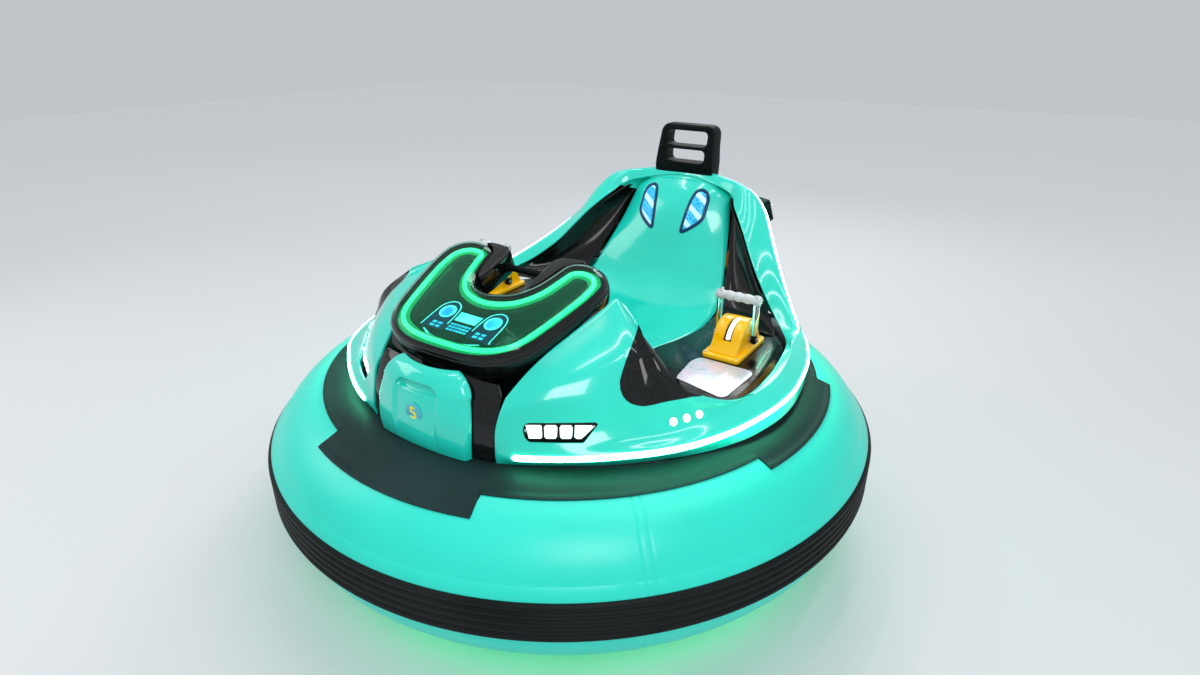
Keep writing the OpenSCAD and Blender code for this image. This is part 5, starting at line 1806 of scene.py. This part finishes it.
# %% Wheels and casters
WHEEL_R, WHEEL_X, WHEEL_WIDE = 84, 330, 44
CASTER_R, CASTER_Y, CASTER_TRAIL = 50, 335, 30
# radius and place along the axle, in millimetres
TREAD = [(58.2, -WHEEL_WIDE / 2), (66, -WHEEL_WIDE / 2), (76, -WHEEL_WIDE / 2),
         (WHEEL_R - 3, -WHEEL_WIDE / 2 + 6), (WHEEL_R, -14), (WHEEL_R, -5), (WHEEL_R - 5, -3),
         (WHEEL_R - 5, 3), (WHEEL_R, 5), (WHEEL_R, 14), (WHEEL_R - 3, WHEEL_WIDE / 2 - 6),
         (76, WHEEL_WIDE / 2), (66, WHEEL_WIDE / 2), (58.2, WHEEL_WIDE / 2), (55, 17), (55, -17)]
HUB = [(10.05, -28), (24, -28), (26, -26), (26, -17), (28, -16), (52, -16), (56, -18.5), (58.1, -18.5),
       (58.1, 18.5), (56, 18.5), (52, 16), (28, 16), (26, 17), (26, 26), (24, 28), (10.05, 28)]
CASTER_TYRE = [(38.2, -15), (46, -15), (CASTER_R - 2.5, -11.5), (CASTER_R, -8), (CASTER_R, 8),
               (CASTER_R - 2.5, 11.5), (46, 15), (38.2, 15)]
CASTER_CORE = [(6.05, -18), (15, -18), (16, -17), (18, -12), (34, -12), (38.2, -14.5), (38.2, 14.5), (34, 12),
               (18, 12), (16, 17), (15, 18), (6.05, 18)]


def metres(profile):
    return [(r * MM, z * MM) for r, z in profile]


for s, cad, body in ((1, "drive_wheel_left", "left_wheel"), (-1, "drive_wheel_right", "right_wheel")):
    at = Matrix.Translation((s * WHEEL_X * MM, 0, WHEEL_R * MM)) @ Matrix.Rotation(math.radians(90), 4, "Y")
    rubber = tyre("drive_tyre", TREAD, 30, WHEEL_R - 4, 4.0, tyre_rubber, at)
    hub = turned("drive_hub", metres(HUB), zinc, 72, at)
    for k in range(6):
        c = at @ Vector((0.039 * math.cos(k * math.tau / 6), 0.039 * math.sin(k * math.tau / 6), 0))
        cut(hub, pin("hole", c - Vector((0.03, 0, 0)), c + Vector((0.03, 0, 0)), 0.007, zinc, around=24))
    wheel = weld(hub, rubber)
    wheel.name = cad + "_piece"
    stands_for(wheel, cad, body=body)
for y, cad, body in ((-1, "caster_wheel_front", "front_caster"), (1, "caster_wheel_rear", "rear_caster")):
    spot = (0, (y * CASTER_Y + CASTER_TRAIL) * MM, CASTER_R * MM)
    at = Matrix.Translation(spot) @ Matrix.Rotation(math.radians(90), 4, "Y")
    rubber = turned("caster_tyre", metres(CASTER_TYRE), tyre_rubber, 96, at)
    core_w = turned("caster_core", metres(CASTER_CORE), motor_grey, 72, at)
    caster = weld(core_w, rubber)
    caster.name = cad + "_piece"
    stands_for(caster, cad, body=body)
print("wheels", wheel.name, caster.name)

# %% [markdown]
# Pan, battery, gear motors, swivels, seat riser and charge socket keep their solid form and only
# take their own finish. They hardly show, so a second skin would cost time and add nothing.

# %% Finishes of the underside
def coat_node(name, mat):
    """Gives a solid of the frame one material."""
    node[name].data.materials.clear()
    node[name].data.materials.append(mat)
    for p in node[name].data.polygons:
        p.material_index = 0


for name, mat in (("chassis_pan", pan_paint), ("battery_block", battery_case), ("drive_mounts", motor_grey),
                  ("caster_fork_front", zinc), ("caster_fork_rear", zinc), ("charge_socket", satin_black),
                  ("seat_riser", pan_paint)):
    coat_node(name, mat)
print("coated seven solids")

# %% [markdown]
# The floor is plain and pale, and grows paler with distance until it meets the backdrop without
# an edge. It shows the car's shadow and the glow of its ring light. A fade by distance needs
# only the length of the object coordinate, mapped from near to far.

# %% Floor
FADE_NEAR, FADE_FAR = 1.6, 7.0
bm = bmesh.new()
bmesh.ops.create_grid(bm, x_segments=8, y_segments=8, size=14)
pale = (0.70, 0.71, 0.72)
floor_pale = finish("floor_pale", pale, tuple(c * 1.02 for c in pale), 0.5, bump=0.05, grain=40, patch=0.6,
                    rough_spread=0.04)
ft = floor_pale.node_tree
how_far = add(ft, "VectorMath")
how_far.operation = "LENGTH"
ft.links.new(add(ft, "TexCoord").outputs["Object"], how_far.inputs[0])
fade = add(ft, "MapRange", From_Min=FADE_NEAR, From_Max=FADE_FAR)
fade.interpolation_type = "SMOOTHSTEP"
ft.links.new(how_far.outputs["Value"], fade.inputs["Value"])
coat_in = ft.nodes["Principled BSDF"].inputs["Base Color"]
ft.links.new(laid_over(ft, coat_in.links[0].from_socket, (0.96, 0.97, 0.98), fade.outputs["Result"]), coat_in)
floor = new_piece("floor", bm, floor_pale)
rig.stage(floor)
print("floor laid")

# %% [markdown]
# The hall gives soft light from all round. The world has two greys: what the eye, clear parts
# and glossy parts see, and a paler one that lights the car. One grey for both would make
# either the backdrop too bright or the shadows too dark.

# %% World
world = bpy.data.worlds.new("studio")
bpy.context.scene.world = world
world.use_nodes = True
wt = world.node_tree
lighting, backdrop = wt.nodes["Background"], add(wt, "Background", Color=(0.54, 0.56, 0.58, 1))
lighting.inputs["Color"].default_value = (0.78, 0.82, 0.86, 1)
lighting.inputs["Strength"].default_value = 0.74
path = add(wt, "LightPath")
seen = path.outputs["Is Camera Ray"]
for ray in ("Is Transmission Ray", "Is Glossy Ray"):
    either = add(wt, "Math")
    either.operation = "MAXIMUM"
    wt.links.new(seen, either.inputs[0])
    wt.links.new(path.outputs[ray], either.inputs[1])
    seen = either.outputs["Value"]
mixer = add(wt, "MixShader")
wt.links.new(seen, mixer.inputs["Fac"])
wt.links.new(lighting.outputs["Background"], mixer.inputs[1])
wt.links.new(backdrop.outputs["Background"], mixer.inputs[2])
wt.links.new(mixer.outputs["Shader"], wt.nodes["World Output"].inputs["Surface"])
print("world set")

# %% [markdown]
# Three broad soft lamps shape the car: key from its left front, fill from the other side, and a
# rim lamp from behind. Four long thin ones overhead give the gel coat the streaks of light that
# tube lamps leave on it. Points of light would leave hard spots instead.

# %% Lamps
def lamp(name, at, aim, size, watts, long=None):
    """An area lamp at a place, aimed at a point; long stretches it to a tube."""
    light = bpy.data.lights.new(name, "AREA")
    light.shape = "RECTANGLE"
    light.size, light.size_y = size, long or size
    light.energy = watts
    ob = bpy.data.objects.new(name, light)
    ob.location = at
    ob.rotation_euler = (Vector(aim) - Vector(at)).to_track_quat("-Z", "Y").to_euler()
    bpy.context.collection.objects.link(ob)
    return ob


lamp("key", (2.2, -2.6, 3.6), (0, 0, 0.5), 1.6, 54)
lamp("fill", (-3.2, -1.6, 2.6), (0, 0, 0.5), 2.0, 26)
lamp("rim", (-0.6, 3.4, 3.2), (0, 0, 0.7), 1.8, 44)
for k, x in enumerate((-1.3, -0.3, 0.7, 1.7)):
    lamp(f"tube_{k}", (x, 0.4, 3.9), (x, 0, 0), 0.10, 10, 2.6)
print("lamps set")

# %% [markdown]
# The last step measures the solids and the dressed car. The two boxes have to agree to a few
# tenths of a millimetre, or a skin has strayed from the solid that it stands for.

# %% Sizes and finish
json.dump({"cad": [list(map(float, c)) for c in cad_box], "visual": [list(map(float, c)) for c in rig.bounds()]},
          open("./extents.json", "w"))
print("sizes", open("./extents.json").read())
